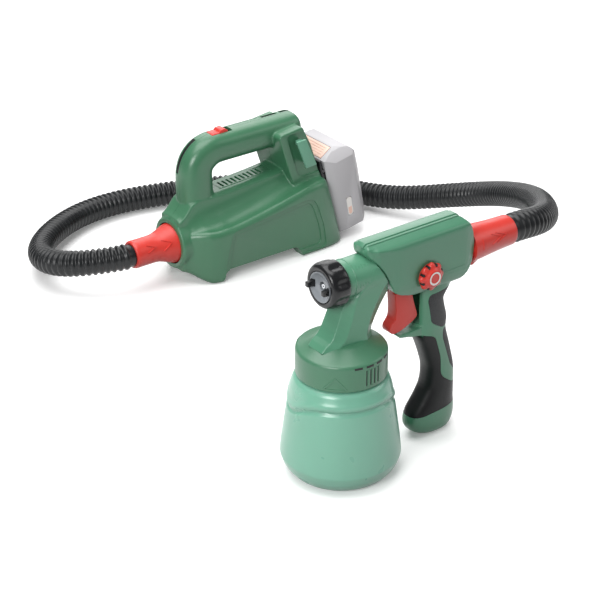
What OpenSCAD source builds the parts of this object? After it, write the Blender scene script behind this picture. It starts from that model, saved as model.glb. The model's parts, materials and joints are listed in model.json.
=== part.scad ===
// Cordless turbine paint sprayer: a base unit with a carry handle and a battery,
// a ribbed air hose, and a spray gun on a screw-on paint container.
// +X points from the nozzle back to the battery, -Y is the side with the flow dial, +Z is up.
// The gun's own origin is the middle of the container's foot, on the floor.

/* [Paint container] */
// Widest radius of the container
container_r = 54; // [50:0.5:58]
// Height of the widest part above the floor
container_belly_z = 19; // [16:1:24]
// Height of the shoulder ridge
shoulder_z = 79; // [74:1:84]
// Radius of the shoulder ridge
shoulder_r = 47; // [44:0.5:49]
// Wall of the container
container_wall = 1.8; // [1.4:0.1:2.6]
// Outer radius of the container's mouth
mouth_r = 34; // [30:0.5:36]
// Depth of the thread on the mouth
thread_d = 1.6; // [1:0.1:2]

/* [Lid] */
// Outer radius of the lid
lid_r = 40.5; // [39:0.5:44]
// Height of the lid's lower edge above the floor
lid_z = 98; // [94:1:102]
// Height of the lid's skirt
lid_h = 25; // [22:1:28]
// Rise of the lid's cone above the skirt
lid_cone_h = 8.5; // [6:0.5:10]
// Radius of the lid's cone at its top
lid_cone_r = 22; // [16:1:26]
// Thickness of the seal in the lid
seal_t = 1.8; // [1:0.1:2.5]
// Play between the container and the lid
lid_play = 0.4; // [0.2:0.1:0.8]

/* [Suction tube] */
// Outer radius of the suction tube
tube_r = 4; // [3:0.25:5]
// Bore radius of the suction tube
tube_bore_r = 2.8; // [2:0.1:3]
// Distance of the suction tube from the container's axis
tube_x = 17; // [14:1:20]
// Gap between the suction tube and the container's floor
tube_floor_gap = 5; // [3:1:12]

/* [Spray head] */
// Height of the nozzle's axis above the floor
axis_z = 186; // [182:1:190]
// Radius of the barrel
barrel_r = 17.5; // [16:0.5:19]
// Front end of the barrel, along X
barrel_x0 = -5; // [-8:1:-3]
// Rear end of the barrel, along X
barrel_x1 = 46; // [42:1:50]
// Bore radius of the barrel
barrel_bore_r = 11.5; // [10:0.5:13]
// Half width of the neck
neck_w = 18; // [15:0.5:20]
// Thread radius at the front of the barrel
nose_r = 15.5; // [14:0.5:16]

/* [Union nut and air cap] */
// Outer radius of the union nut
nut_r = 21; // [19.5:0.5:23]
// Length of the union nut
nut_l = 19; // [16:1:22]
// Number of finger cuts round the nut
nut_cuts = 8; // [6:1:12]
// Wall of the nut's front lip, along X
nut_lip = 3; // [2:0.5:4]
// Radius of the opening in the nut's lip
nut_open_r = 14; // [13:0.5:14.5]
// Thickness of the air cap's flange
cap_flange_t = 2.4; // [1.6:0.2:3]
// Distance of each horn from the nozzle's axis
horn_y = 11; // [9:0.5:12]
// Length of a horn ahead of the nut
horn_l = 6; // [4:0.5:9]
// Radius of the needle
needle_r = 1.5; // [1:0.1:2]
// Radius of the nozzle's tip
tip_r = 3; // [2.6:0.1:4]

/* [Gun body] */
// Half width of the gun body
gun_w = 17.5; // [17:0.5:20]
// Rise of the gun body's top above the nozzle's axis
gun_rise = 29; // [26:0.5:31]
// Drop of the gun body's underside below the nozzle's axis
gun_drop = 32; // [30:0.5:34]
// Rear end of the gun body
gun_x1 = 138; // [134:1:144]
// Wall of the gun body
gun_wall = 2.4; // [1.8:0.2:3]
// Radius of a screw head in the gun
gun_screw_r = 2.6; // [2:0.1:3]

/* [Trigger] */
// Half width of the trigger
trigger_w = 6.5; // [6:0.5:8]
// Radius of the trigger's pin
trigger_pin_r = 2; // [1.6:0.1:2.6]
// Height of the pin above the nozzle's axis
trigger_pin_dz = 13; // [12:0.5:14]
// Position of the pin along X
trigger_pin_x = 58; // [56:1:60]
// Running play round the pin
pin_play = 0.06; // [0.03:0.01:0.1]

/* [Flow dial] */
// Radius of the dial over its lobes
dial_r = 13.5; // [11:0.5:14.5]
// Number of lobes
dial_lobes = 8; // [6:1:10]
// Length of the dial outside the body
dial_l = 8.5; // [8:0.5:12]
// Position of the dial along X
dial_x = 82; // [80:1:86]
// Height of the dial above the floor
dial_z = 172; // [170:0.5:175]
// Radius of the dial's shaft
dial_shaft_r = 4; // [3:0.25:5]

/* [Handle] */
// Half width of the handle at the palm
handle_w = 14; // [12.5:0.5:15]
// Thickness of the soft grip
grip_t = 2.2; // [1.4:0.2:3]

/* [Base unit] */
// Distance between the middle planes of the gun and the base unit
base_y = 395; // [390:1:400]
// Half width of the base unit's body
base_w = 45.5; // [43:0.5:48]
// Wall of the base unit
base_wall = 2.5; // [2:0.1:3.2]
// Height of the arch between the feet
foot_h = 13; // [10:1:16]
// Half width of the carry handle
carry_w = 17; // [15.5:0.5:18]
// Half height of the carry handle's grip
carry_h = 16.3; // [14:0.1:17.5]
// Depth of the panel recess in each side
panel_d = 1.4; // [0.8:0.1:2]
// Half width of the block that carries the battery
block_w = 30; // [29:0.5:32]
// Radius of the round collar at the air outlet
collar_r = 28.5; // [27:0.5:30]
// Height of the air outlet's axis above the floor
outlet_z = 42; // [40:0.5:44]
// Width of the power switch
switch_w = 12; // [10:0.5:15]
// Length of the power switch's window
switch_l = 26; // [24:1:30]
// Travel of the power switch
switch_travel = 5; // [3:0.5:7]

/* [Turbine] */
// Radius of the turbine's wheel
wheel_r = 24; // [20:0.5:26]
// Number of blades
blades = 10; // [8:1:14]
// Radius of the motor's can
motor_r = 17.5; // [15:0.5:19]
// Length of the motor's can
motor_l = 50; // [42:1:54]
// Radius of the motor's shaft
shaft_r = 2.5; // [2:0.1:3]

/* [Battery] */
// Half width of the battery
batt_w = 37; // [36:0.5:39]
// Lean of the battery from the vertical, in degrees
batt_lean = 11; // [10:0.5:12]
// Thickness of the battery behind its shoulder
batt_t = 34; // [31:0.5:37]
// Height of the battery above its reference line
batt_top = 52; // [50:0.5:55]
// Depth of the battery below its reference line
batt_low = 48; // [46:1:50]
// Half width of the battery's rail block
rail_w = 28.5; // [26:0.5:28.5]
// Play between the battery's rail and the dock
rail_play = 0.3; // [0.2:0.05:0.5]
// Half width of the release button
button_w = 24; // [20:0.5:25]

/* [Hose] */
// Outer radius of the hose over its ribs
hose_r = 14; // [12:0.5:14]
// Depth of the ribs
rib_d = 1.8; // [1:0.1:2.2]
// Distance from rib to rib
rib_pitch = 6.4; // [6.2:0.1:8]
// Bore radius of the hose
hose_bore_r = 10.5; // [9:0.5:11]

/* [Hidden] */

eps = 0.01;
round_fn = 64;
small_fn = 32;

// ---- places worked out from the sizes ----
mouth_z = lid_z + lid_h - 5;
ceiling_z = mouth_z + 0.2 + seal_t;
lid_top_z = lid_z + lid_h + lid_cone_h;
lid_in_r = mouth_r + thread_d + lid_play;
gun_top_z = axis_z + gun_rise;
gun_low_z = axis_z - gun_drop;
nut_x0 = barrel_x0 - nut_l;
cap_x0 = nut_x0 + nut_lip + 0.2;
pin_z = axis_z + trigger_pin_dz;
pin_half = gun_w - 3.2;
base_x0 = 84;
dock_x = 281;
dock_z = 58;
batt_rear_x = dock_x + batt_t * cos(batt_lean) + (batt_low - 5) * sin(batt_lean);
span_y = base_y + base_w;
origin_x = (batt_rear_x - container_r) / 2;
origin_y = (span_y - container_r) / 2;

// ---- helpers ----
function flip(list) = [for (i = [len(list) - 1:-1:0]) list[i]];
function oval(a, b, sides, power) = [for (i = [0:sides - 1])
    let (t = 360 * i / sides, c = cos(t), s = sin(t))
    [a * sign(c) * pow(abs(c), 2 / power), b * sign(s) * pow(abs(s), 2 / power)]];

// A closed solid through a list of loops that all have the same number of points.
module skin(loops) {
    n = len(loops[0]);
    m = len(loops);
    walls = [for (i = [0:m - 2], j = [0:n - 1])
        let (a = i * n + j, b = i * n + (j + 1) % n, c = a + n, d = b + n)
        each [[a, c, b], [b, c, d]]];
    first = [for (j = [1:n - 2]) [0, j, j + 1]];
    last = [for (j = [1:n - 2]) [(m - 1) * n, (m - 1) * n + j + 1, (m - 1) * n + j]];
    polyhedron([for (loop = loops) each loop], concat(walls, first, last), convexity = 8);
}

// A solid of revolution about a line along X, from points [x, radius].
module turned_x(points, z, fn = round_fn) {
    translate([0, 0, z])
        rotate([0, 90, 0])
            rotate_extrude($fn = fn)
                polygon([for (p = points) [p[1], p[0]]]);
}

// A rod along X.
module rod_x(x0, x1, r, z, y = 0, fn = round_fn) {
    translate([x0, y, z])
        rotate([0, 90, 0])
            cylinder(h = x1 - x0, r = r, $fn = fn);
}

// A rod along Y.
module rod_y(x, z, r, y0, y1, fn = round_fn) {
    translate([x, y1, z])
        rotate([90, 0, 0])
            cylinder(h = y1 - y0, r = r, $fn = fn);
}

// An outline in X and Z, from y0 to y1.
module slab_y(points, y0, y1) {
    translate([0, y1, 0])
        rotate([90, 0, 0])
            linear_extrude(height = y1 - y0)
                polygon(points);
}

// An outline in Y and Z, from x0 to x1.
module slab_x(points, x0, x1) {
    translate([x0, 0, 0])
        rotate([90, 0, 90])
            linear_extrude(height = x1 - x0)
                polygon(points);
}

module box(x, y, z) {
    translate([x[0], y[0], z[0]])
        cube([x[1] - x[0], y[1] - y[0], z[1] - z[0]]);
}

// An outline drawn anticlockwise, moved inwards by t along the middle of each corner.
function shrunk(outline, t) = let (n = len(outline))
    [for (i = [0:n - 1])
        let (b = outline[i], u = b - outline[(i + n - 1) % n], v = outline[(i + 1) % n] - b,
            p = [-u[1], u[0]] / norm(u), q = [-v[1], v[0]] / norm(v), m = (p + q) / norm(p + q))
        b + m * t / (m * p)];

module in_frame() {
    translate([-origin_x, -origin_y, 0])
        children();
}

// ---- paint container ----
container_outline = [[36, 2], [38, 0], [container_r - 12.5, 0], [container_r - 9, 2.5],
    [container_r - 3, 9], [container_r, container_belly_z],
    [container_r - 0.8, container_belly_z + 9], [shoulder_r + 3.4, shoulder_z - 26],
    [shoulder_r + 0.6, shoulder_z - 12], [shoulder_r - 1.6, shoulder_z - 8.5],
    [shoulder_r - 0.5, shoulder_z - 4.5], [shoulder_r, shoulder_z], [shoulder_r - 1.4, shoulder_z + 6],
    [mouth_r + 9, lid_z - 5.5], [mouth_r + 6.5, lid_z - 2.4], [mouth_r + 3.5, lid_z - 1],
    [mouth_r, lid_z - 0.8], [mouth_r, mouth_z]];

module container() {
    inside = [for (p = container_outline) [p[0] - container_wall, max(2 + container_wall,
        p[1] - (p[1] > shoulder_z && p[1] < mouth_z ? container_wall : 0))]];
    color("#7DB59F") {
        rotate_extrude($fn = 96)
            polygon(concat([[0, 2]], container_outline, flip(inside), [[0, 2 + container_wall]]));
        for (z = [lid_z + 5, lid_z + 11])
            rotate_extrude($fn = 96)
                polygon([[mouth_r - eps, z - 1.6], [mouth_r + thread_d, z - 0.5],
                    [mouth_r + thread_d, z + 0.5], [mouth_r - eps, z + 1.6]]);
    }
}

module container_seal() {
    color("#C9C4B6")
        translate([0, 0, mouth_z + 0.2])
            difference() {
                cylinder(h = seal_t, r = mouth_r, $fn = round_fn);
                translate([0, 0, -1])
                    cylinder(h = seal_t + 2, r = mouth_r - 5, $fn = round_fn);
            }
}

module suction_tube() {
    low_z = 2 + container_wall + tube_floor_gap;
    color("#E6E6DE")
        translate([-tube_x, 0, low_z])
            difference() {
                cylinder(h = lid_top_z - 1 - low_z, r = tube_r, $fn = small_fn);
                translate([0, 0, -1])
                    cylinder(h = lid_top_z + 2 - low_z, r = tube_bore_r, $fn = small_fn);
                translate([-10, -10, -20])
                    rotate([0, -20, 0])
                        cube([30, 20, 20]);
            }
}

// The hole that lets air from the head into the container.
air_hole_x = 18;
air_hole_r = 2.5;

// The lid's skirt, its cone and the collar that holds the suction tube.
module container_lid() {
    skirt_top = lid_z + lid_h;
    color("#5F9478")
        difference() {
            rotate_extrude($fn = 96)
                polygon([[lid_in_r, lid_z], [lid_r - 0.6, lid_z], [lid_r, lid_z + 1],
                    [lid_r, skirt_top - 2], [lid_r - 1.5, skirt_top], [lid_cone_r, lid_top_z],
                    [0, lid_top_z], [0, ceiling_z], [lid_in_r, ceiling_z]]);
            translate([-tube_x, 0, ceiling_z - 1])
                cylinder(h = lid_top_z, r = tube_r, $fn = small_fn);
            translate([air_hole_x, 0, ceiling_z - 1])
                cylinder(h = lid_top_z, r = air_hole_r, $fn = small_fn);
            for (side = [0, 180], i = [0:3])
                rotate([0, 0, -107 + 16 * i + side])
                    translate([lid_r - 1.6, -4, skirt_top - 3.2])
                        cube([4, 8, 2]);
            for (side = [0, 180], i = [0:3])
                rotate([0, 0, -96 + 6 * i + side])
                    translate([lid_r - 0.8, -0.8, lid_z + 4])
                        cube([4, 1.6, 14]);
        }
}

// ---- spray head ----
// Where the barrel steps down to the part that sits inside the gun body.
barrel_step_x = 27;

// Level outlines of the neck, each the half towards +Y: [height, points from front to back].
neck_levels = [[lid_top_z - 3.5, [[-29, 10], [-18, neck_w - 2], [14, neck_w + 0.5], [26, 10]]],
    [lid_top_z + 6.5, [[-17.5, 10], [-8, neck_w - 1.5], [14, neck_w - 0.5], [25, 10]]],
    [axis_z - 12, [[-2, 7], [5, neck_w - 2], [30, neck_w - 1], [44, 12]]],
    [axis_z + 10, [[20, 8], [22, neck_w - 3.5], [38, neck_w - 3.5], [39, 8]]]];

module neck_block() {
    for (i = [0:len(neck_levels) - 2])
        hull()
            for (level = [neck_levels[i], neck_levels[i + 1]])
                translate([0, 0, level[0]])
                    linear_extrude(height = 0.5)
                        polygon(concat(level[1], [for (p = flip(level[1])) [p[0], -p[1]]]));
}

// The lid's top with a hair of play, so that the neck's foot rests on the cone.
module lid_top() {
    rotate_extrude($fn = 96)
        polygon([[0, lid_z], [lid_r, lid_z], [lid_r, lid_z + lid_h], [lid_r - 1.45, lid_z + lid_h],
            [lid_cone_r + 0.05, lid_top_z + eps], [0, lid_top_z + eps]]);
}

module spray_head() {
    color("#6FA58C")
        difference() {
            union() {
                difference() {
                    neck_block();
                    gun_outside(0.4);
                    rod_x(nut_x0 - 5, barrel_x0, nut_r + 0.6, axis_z);
                    lid_top();
                }
                rod_x(barrel_x0, barrel_step_x, barrel_r, axis_z);
                rod_x(barrel_step_x - 1, barrel_x1, barrel_bore_r + 3, axis_z);
                rod_x(cap_x0 + cap_flange_t + 0.2, barrel_x0 + 1, nose_r, axis_z);
                rod_x(barrel_x0 + 6, barrel_x0 + 7.5, barrel_r + 0.7, axis_z);
            }
            rod_x(cap_x0, barrel_x1 + 1, barrel_bore_r, axis_z);
            translate([-tube_x, 0, lid_top_z - 2])
                rotate([0, 32, 0])
                    cylinder(h = 56, r = tube_bore_r, $fn = small_fn);
            translate([air_hole_x, 0, lid_top_z - 2])
                cylinder(h = axis_z - lid_top_z - 6, r = air_hole_r, $fn = small_fn);
        }
}

// The paint nozzle: a flanged tube in the barrel with a fine tip.
module fluid_nozzle() {
    color("#B9BDC2")
        difference() {
            turned_x([[nut_x0 + 3.5, 0], [nut_x0 + 3.5, tip_r - 1], [nut_x0 + 7, tip_r],
                [nut_x0 + 9, 7], [barrel_x0 - 9, 7], [barrel_x0 - 9, barrel_bore_r],
                [barrel_x0 + 4, barrel_bore_r], [barrel_x0 + 4, 6], [22, 6], [22, 0]], axis_z);
            rod_x(nut_x0, 30, needle_r + 0.8, axis_z, fn = small_fn);
        }
}

// The packing that seals the needle at the back of the barrel.
module needle_gland() {
    color("#2B2B2B")
        difference() {
            rod_x(barrel_x1 - 14, barrel_x1 - 2, barrel_bore_r, axis_z);
            rod_x(barrel_x1 - 15, barrel_x1, needle_r + pin_play, axis_z, fn = small_fn);
        }
}

arm_t = 4;
collar_x = trigger_pin_x + arm_t + 1.2;
spring_x0 = collar_x + 3;
spring_x1 = 94;

module needle() {
    color("#D8DADD") {
        turned_x([[nut_x0 + 4, 0], [nut_x0 + 9, needle_r], [spring_x0 + 14, needle_r],
            [spring_x0 + 14, 0]], axis_z, small_fn);
        rod_x(collar_x, spring_x0, 3.2, axis_z, fn = small_fn);
    }
}

module needle_spring() {
    color("#9FA3A8")
        difference() {
            rod_x(spring_x0, spring_x1, 3, axis_z, fn = small_fn);
            rod_x(spring_x0 - 1, spring_x1 + 1, needle_r + 0.6, axis_z, fn = small_fn);
        }
}

// The block that the spring leans on, held between the two gun shells.
module spring_stop() {
    color("#2B2B2B")
        box([spring_x1, spring_x1 + 5], [gun_wall - gun_w, gun_w - gun_wall],
            [axis_z - 6, axis_z + 6]);
}

// ---- union nut and air cap ----
module union_nut() {
    color("#26282A")
        difference() {
            turned_x([[nut_x0, nut_open_r], [nut_x0, nut_r - 2.5], [nut_x0 + 2, nut_r - 0.8],
                [nut_x0 + 6, nut_r], [barrel_x0 - 3, nut_r], [barrel_x0 - 0.2, nut_r - 2],
                [barrel_x0 - 0.2, nose_r + pin_play], [nut_x0 + nut_lip + cap_flange_t + 0.4,
                nose_r + pin_play], [nut_x0 + nut_lip, nose_r + pin_play], [nut_x0 + nut_lip,
                nut_open_r]], axis_z);
            for (i = [0:nut_cuts - 1])
                translate([0, 0, axis_z])
                    rotate([360 * (i + 0.5) / nut_cuts, 0, 0])
                        translate([nut_x0 + 7, -3.5, nut_r - 1.4])
                            rotate([0, 6, 0])
                                cube([nut_l, 7, 5]);
        }
}

module air_cap() {
    x0 = cap_x0;
    color("#8C9196")
        difference() {
            turned_x([[x0 + cap_flange_t, tip_r + 1.2], [x0 + 0.2, tip_r + 1.2], [x0 - 0.6, 7],
                [nut_x0 - 0.5, 12.6], [nut_x0 - 0.5, nut_open_r - 0.3], [x0, nut_open_r - 0.3],
                [x0, nose_r - 0.3], [x0 + cap_flange_t, nose_r - 0.3]], axis_z);
            for (side = [-1, 1])
                rod_x(nut_x0 - 3, x0 + 5, 0.7, axis_z, side * 7, small_fn);
        }
    color("#1E1F21")
        for (side = [-1, 1])
            slab_y([[nut_x0 - horn_l, axis_z - 2.4], [nut_x0 - horn_l, axis_z + 2.4],
                [x0 - 0.2, axis_z + 3.6], [x0 - 0.2, axis_z - 3.6]],
                side * horn_y - 2, side * horn_y + 2);
}

// ---- gun body ----
gun_side = [[21, gun_top_z], [18, gun_top_z - 2.5], [18, axis_z + 20.5], [20.5, axis_z + 18],
    [29, axis_z + 10], [35.2, axis_z - 1.5], [40.4, axis_z - 11.7], [43.6, axis_z - 20.5],
    [48, gun_low_z + 8], [57, gun_low_z + 4.5], [67, gun_low_z + 1.6], [80, gun_low_z],
    [118, gun_low_z], [127, gun_low_z + 4], [gun_x1 - 3, gun_low_z + 16], [gun_x1, gun_low_z + 26],
    [gun_x1, gun_top_z - 27], [gun_x1 - 3, gun_top_z - 17], [gun_x1 - 8.5, gun_top_z - 6],
    [gun_x1 - 11, gun_top_z - 1.5], [gun_x1 - 14, gun_top_z]];
gun_right = [[gun_w - 3, gun_low_z - 1], [gun_w, gun_low_z + 10], [gun_w, gun_top_z - 9],
    [14.8, gun_top_z - 5.2], [6.6, gun_top_z - 1.8], [4.2, gun_top_z - 0.2], [3.5, gun_top_z + 1]];
gun_front = concat(gun_right, [for (p = flip(gun_right)) [-p[0], p[1]]]);
gun_plan = [[17, -7], [28, -gun_w - 1], [gun_x1 - 12, -gun_w - 1], [gun_x1 + 1, -13.5],
    [gun_x1 + 1, 13.5], [gun_x1 - 12, gun_w + 1], [28, gun_w + 1], [17, 7]];

module gun_form(inset) {
    intersection() {
        slab_y(shrunk(gun_side, inset), -40, 40);
        slab_x(shrunk(gun_front, inset), -10, 200);
        translate([0, 0, 100])
            linear_extrude(height = 150)
                polygon(shrunk(gun_plan, inset));
    }
}

module gun_outside(grow) {
    gun_form(-grow);
}

module gun_hollow() {
    handle_form(grip_t + gun_wall);
    gun_form(gun_wall);
}

// The handle as level slices: [height, middle along X, half depth, half width].
handle_slices = [[1.5, 105, 15, 9], [3.5, 104, 19.5, 12], [8, 102.5, 24, 14], [15, 102, 26.5, 15],
    [24, 103, 25.5, 15], [31, 105, 22.5, 14.6], [38, 107.5, 19.5, 14.3], [50, 110.5, 15.8, handle_w],
    [66, 110.5, 14.6, handle_w], [80, 107, 14.8, handle_w], [94, 102.5, 15.6, handle_w],
    [108, 97.5, 17, 14], [120, 97.5, 17, 14.5], [134, 95.2, 15.3, 15], [142, 95, 14.8, 15],
    [150, 98, 18, 15], [gun_low_z + 8, 102, 23, 15]];

module handle_form(inset) {
    skin([for (s = handle_slices) [for (p = oval(s[2] - inset, s[3] - inset, 24, 2.4))
        [s[1] + p[0], p[1], s[0] + (s[0] < 2 ? inset : s[0] > 160 ? -inset : 0)]]]);
}

// Side outline of the black grip, seen square to the handle.
grip_side = [[60, 21], [83, 22.5], [96, 25.5], [136, 28.5], [136, 48], [119, 50], [105, 61],
    [103, 82], [95.5, 105.5], [75, 110], [60, 112]];
upper_insert = [[88, 149], [86, 143], [90.5, 120], [103, 112], [124, 112], [124, 135], [120, 153]];
lower_insert = [[105, 110], [104.5, 101], [114.5, 71], [121, 62], [140, 61], [140, 84], [130, 110]];
foot_insert = [[121, 0], [128, 0], [140, 12], [140, 26], [127, 15]];

module grip_cut() {
    slab_y(grip_side, -40, 40);
}

module inserts_cut() {
    for (outline = [upper_insert, lower_insert, foot_insert])
        slab_y(outline, -40, 40);
}

module soft_grip() {
    color("#1F2123")
        difference() {
            intersection() {
                handle_form(0);
                grip_cut();
            }
            handle_form(grip_t);
            trigger_shelf();
        }
}

module grip_inserts() {
    color("#2E3033")
        difference() {
            intersection() {
                handle_form(0);
                inserts_cut();
            }
            handle_form(grip_t);
            gun_outside(0);
        }
}

trigger_side = [[53.5, 162], [55.4, 148], [56.2, 138], [55.4, 130], [51.6, 125], [50.6, 121], [53, 117.8],
    [59, 117.6], [70, 121.6], [79.5, 127], [79.5, 131], [75.5, 142], [71.5, 162]];

// The space that the trigger sweeps in the body and in the handle.
module trigger_room() {
    w = trigger_w + 0.6;
    slab_y([[42, 116.6], [70, 116.6], [84, 119], [93, 126], [97, 136], [93, 148],
        [88, gun_low_z + 6], [76, 205], [50, 205], [47, gun_low_z - 2]], -w, w);
}

// The tongue below the trigger.
module trigger_shelf() {
    slab_y([[56, 116.2], [58, 113.4], [68, 111.4], [80, 107], [92, 104], [92, 118], [78, 116],
        [62, 115.6]], -9.5, 9.5);
}

// The solid of both shells before it is hollowed.
module gun_solid() {
    difference() {
        handle_form(0);
        grip_cut();
        inserts_cut();
    }
    handle_form(grip_t);
    gun_outside(0);
    trigger_shelf();
}

module gun_bosses() {
    for (p = gun_screw_spots)
        rod_y(p[0], p[1], gun_screw_r + 2.4, -30, 30, small_fn);
    for (side = [-1, 1])
        rod_y(trigger_pin_x, pin_z, trigger_pin_r + 3, side > 0 ? trigger_w + 0.6 : -30,
            side > 0 ? 30 : -trigger_w - 0.6, small_fn);
    rod_y(dial_x, dial_z, dial_shaft_r + 3, -30, -gun_w + 7, small_fn);
    rod_x(gun_x1 - 18, gun_x1 + 5, 17, connector_z);
}

shank_r = 1.4;
gun_screw_spots = [[84, 203], [112, 200], [111, 163.5], [103, 118], [111, 60], [104, 14]];

module gun_shell(side) {
    y0 = side < 0 ? -60 : 0;
    difference() {
        intersection() {
            gun_solid();
            box([0, 200], [y0, y0 + 60], [0, 260]);
        }
        difference() {
            gun_hollow();
            gun_bosses();
        }
        trigger_room();
        rod_x(5, barrel_step_x + 0.3, barrel_r + 0.3, axis_z);
        rod_x(5, barrel_x1 + 0.2, barrel_bore_r + 3.1, axis_z);
        rod_x(gun_x1 - 20, gun_x1 + 5, 14.1, connector_z);
        rod_y(trigger_pin_x, pin_z, trigger_pin_r, -pin_half, pin_half, small_fn);
        rod_y(dial_x, dial_z, dial_shaft_r + pin_play, -60, -5, small_fn);
        for (p = gun_screw_spots) {
            rod_y(p[0], p[1], gun_screw_r + 0.2, 5, 40, small_fn);
            rod_y(p[0], p[1], shank_r, -9, 6, small_fn);
        }
    }
}

module gun_shell_left() {
    color("#6FA58C")
        gun_shell(-1);
}

module gun_shell_right() {
    color("#6FA58C")
        gun_shell(1);
}

// A cross-head screw along Y, its head towards +Y.
module screw(x, z, y_seat, l, head_r, r) {
    difference() {
        union() {
            rod_y(x, z, head_r, y_seat, y_seat + 2, small_fn);
            rod_y(x, z, r, y_seat - l, y_seat + 1, small_fn);
        }
        translate([x - 0.4, y_seat + 1, z - 1.6])
            cube([0.8, 2, 3.2]);
        translate([x - 1.6, y_seat + 1, z - 0.4])
            cube([3.2, 2, 0.8]);
    }
}

module gun_screws() {
    color("#8F9499")
        for (p = gun_screw_spots)
            screw(p[0], p[1], 5, 14, gun_screw_r, shank_r);
}

module trigger() {
    color("#D9443E")
        difference() {
            union() {
                difference() {
                    slab_y(trigger_side, -trigger_w, trigger_w);
                    slab_y([[60, 150], [60, 136], [57, 127], [62, 121.6], [90, 126], [90, 150]],
                        -trigger_w + 2.5, trigger_w - 2.5);
                }
                slab_y([[trigger_pin_x - arm_t, 158], [trigger_pin_x - arm_t, pin_z],
                    [trigger_pin_x - 2, pin_z + 4.5], [trigger_pin_x + 2, pin_z + 4.5],
                    [trigger_pin_x + arm_t, pin_z], [trigger_pin_x + arm_t, axis_z - 6],
                    [70, 158]], -trigger_w + 3, trigger_w - 3);
            }
            rod_x(trigger_pin_x - 10, trigger_pin_x + 12, needle_r + 1.2, axis_z, fn = small_fn);
            rod_y(trigger_pin_x, pin_z, trigger_pin_r + pin_play, -20, 20, small_fn);
        }
}

module trigger_pin() {
    color("#C9CCD0")
        rod_y(trigger_pin_x, pin_z, trigger_pin_r, -pin_half, pin_half, small_fn);
}

module flow_dial() {
    y0 = -gun_w - 0.3;
    color("#D9443E")
        difference() {
            union() {
                rod_y(dial_x, dial_z, dial_r - 1.5, y0 - 4, y0);
                rod_y(dial_x, dial_z, dial_r - 2.6, y0 - dial_l + 3, y0 - 3);
                rod_y(dial_x, dial_z, 5.5, y0 - dial_l, y0 - 5);
                for (i = [0:dial_lobes - 1])
                    translate([dial_x, 0, dial_z])
                        rotate([0, 360 * i / dial_lobes, 0])
                            rod_y(dial_r - 2.6, 0, 2.6, y0 - dial_l + 3.2, y0 - 0.3, small_fn);
                rod_y(dial_x, dial_z, dial_shaft_r, y0 - 1, -gun_w + 9, small_fn);
            }
            rod_y(dial_x, dial_z, 3.6, y0 - dial_l - 1, y0 - dial_l + 0.6, small_fn);
        }
}

// ---- hose and its connectors ----
connector_z = 178;
gun_end_x = 190;
base_end_x = 31;
connector_bore_r = 10.5;

module gun_connector() {
    color("#D9443E")
        difference() {
            union() {
                turned_x([[gun_x1 - 20, 0], [gun_x1 - 20, 14], [gun_x1 + 0.1, 14], [gun_x1 + 0.1, 17],
                    [gun_x1 + 8, 16.6], [gun_x1 + 28, 15], [gun_end_x - 3, 14.2],
                    [gun_end_x, 13.8], [gun_end_x, 0]], connector_z);
                hull() {
                    box([gun_x1 + 0.1, gun_x1 + 6], [-7, 7], [connector_z - 20, connector_z]);
                    box([gun_x1 + 0.1, gun_x1 + 26], [-5, 5], [connector_z - 13.5, connector_z]);
                }
            }
            rod_x(gun_x1 - 21, gun_end_x + 1, connector_bore_r, connector_z);
        }
}

module base_connector() {
    color("#D9443E")
        translate([0, base_y, 0])
            difference() {
                turned_x([[base_end_x, 0], [base_end_x, 14.4], [base_end_x + 3, 15], [base_end_x + 28, 15],
                    [base_x0 - 6, 21], [base_x0 - 2, 22], [base_x0 + 4, 22], [base_x0 + 4, 17],
                    [base_x0 + 22, 17], [base_x0 + 22, 0]], outlet_z);
                rod_x(base_end_x - 1, base_x0 + 23, connector_bore_r, outlet_z);
            }
}

// Route of the hose from the gun's connector to the base unit's, by hand:
// off the back of the gun, down to the floor, behind the base unit and round to its front.
// A smooth curve passes close to these points; the outermost one at each end only aims it.
hose_route = [[176, 0, 178], [190, 0, 178], [204, 0, 178], [236, 6, 172], [278, 40, 152],
    [322, 88, 132], [364, 144, 108], [394, 206, 82], [410, 266, 56], [402, 324, 34],
    [372, 376, 19], [354, 428, 15], [324, 474, 15], [282, 508, 15], [234, 532, 15],
    [182, 552, 15], [132, 566, 15], [82, 566, 16], [34, 548, 18], [-10, 516, 20],
    [-38, 470, 27], [-30, 420, 38], [17, 395, 42], [31, 395, 42], [45, 395, 42]];

function curve_at(a, b, c, d, t) = (pow(1 - t, 3) * a + (3 * t * t * t - 6 * t * t + 4) * b
    + (1 + 3 * t + 3 * t * t - 3 * t * t * t) * c + t * t * t * d) / 6;
hose_steps = 16;
hose_line = [for (i = [0:len(hose_route) - 4], k = [0:hose_steps - 1])
    curve_at(hose_route[i], hose_route[i + 1], hose_route[i + 2], hose_route[i + 3], k / hose_steps)];
hose_tail = curve_at(hose_route[21], hose_route[22], hose_route[23], hose_route[24], 1);
hose_path = concat(hose_line, [hose_tail]);
function runs(p, i = 0, sum = 0) = i >= len(p) ? [] :
    concat([sum], runs(p, i + 1, sum + (i + 1 < len(p) ? norm(p[i + 1] - p[i]) : 0)));
hose_runs = runs(hose_path);
hose_l = hose_runs[len(hose_runs) - 1];
function axis_table(k) = [for (i = [0:len(hose_path) - 1]) [hose_runs[i], hose_path[i][k]]];
hose_xs = axis_table(0);
hose_ys = axis_table(1);
hose_zs = axis_table(2);
function hose_point(s) = [lookup(s, hose_xs), lookup(s, hose_ys), lookup(s, hose_zs)];
function unit(v) = v / norm(v);
function hose_heading(s) = s < 15 ? [1, 0, 0] : s > hose_l - 15 ? [1, 0, 0] :
    unit(hose_point(s + 4) - hose_point(s - 4));
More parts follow.
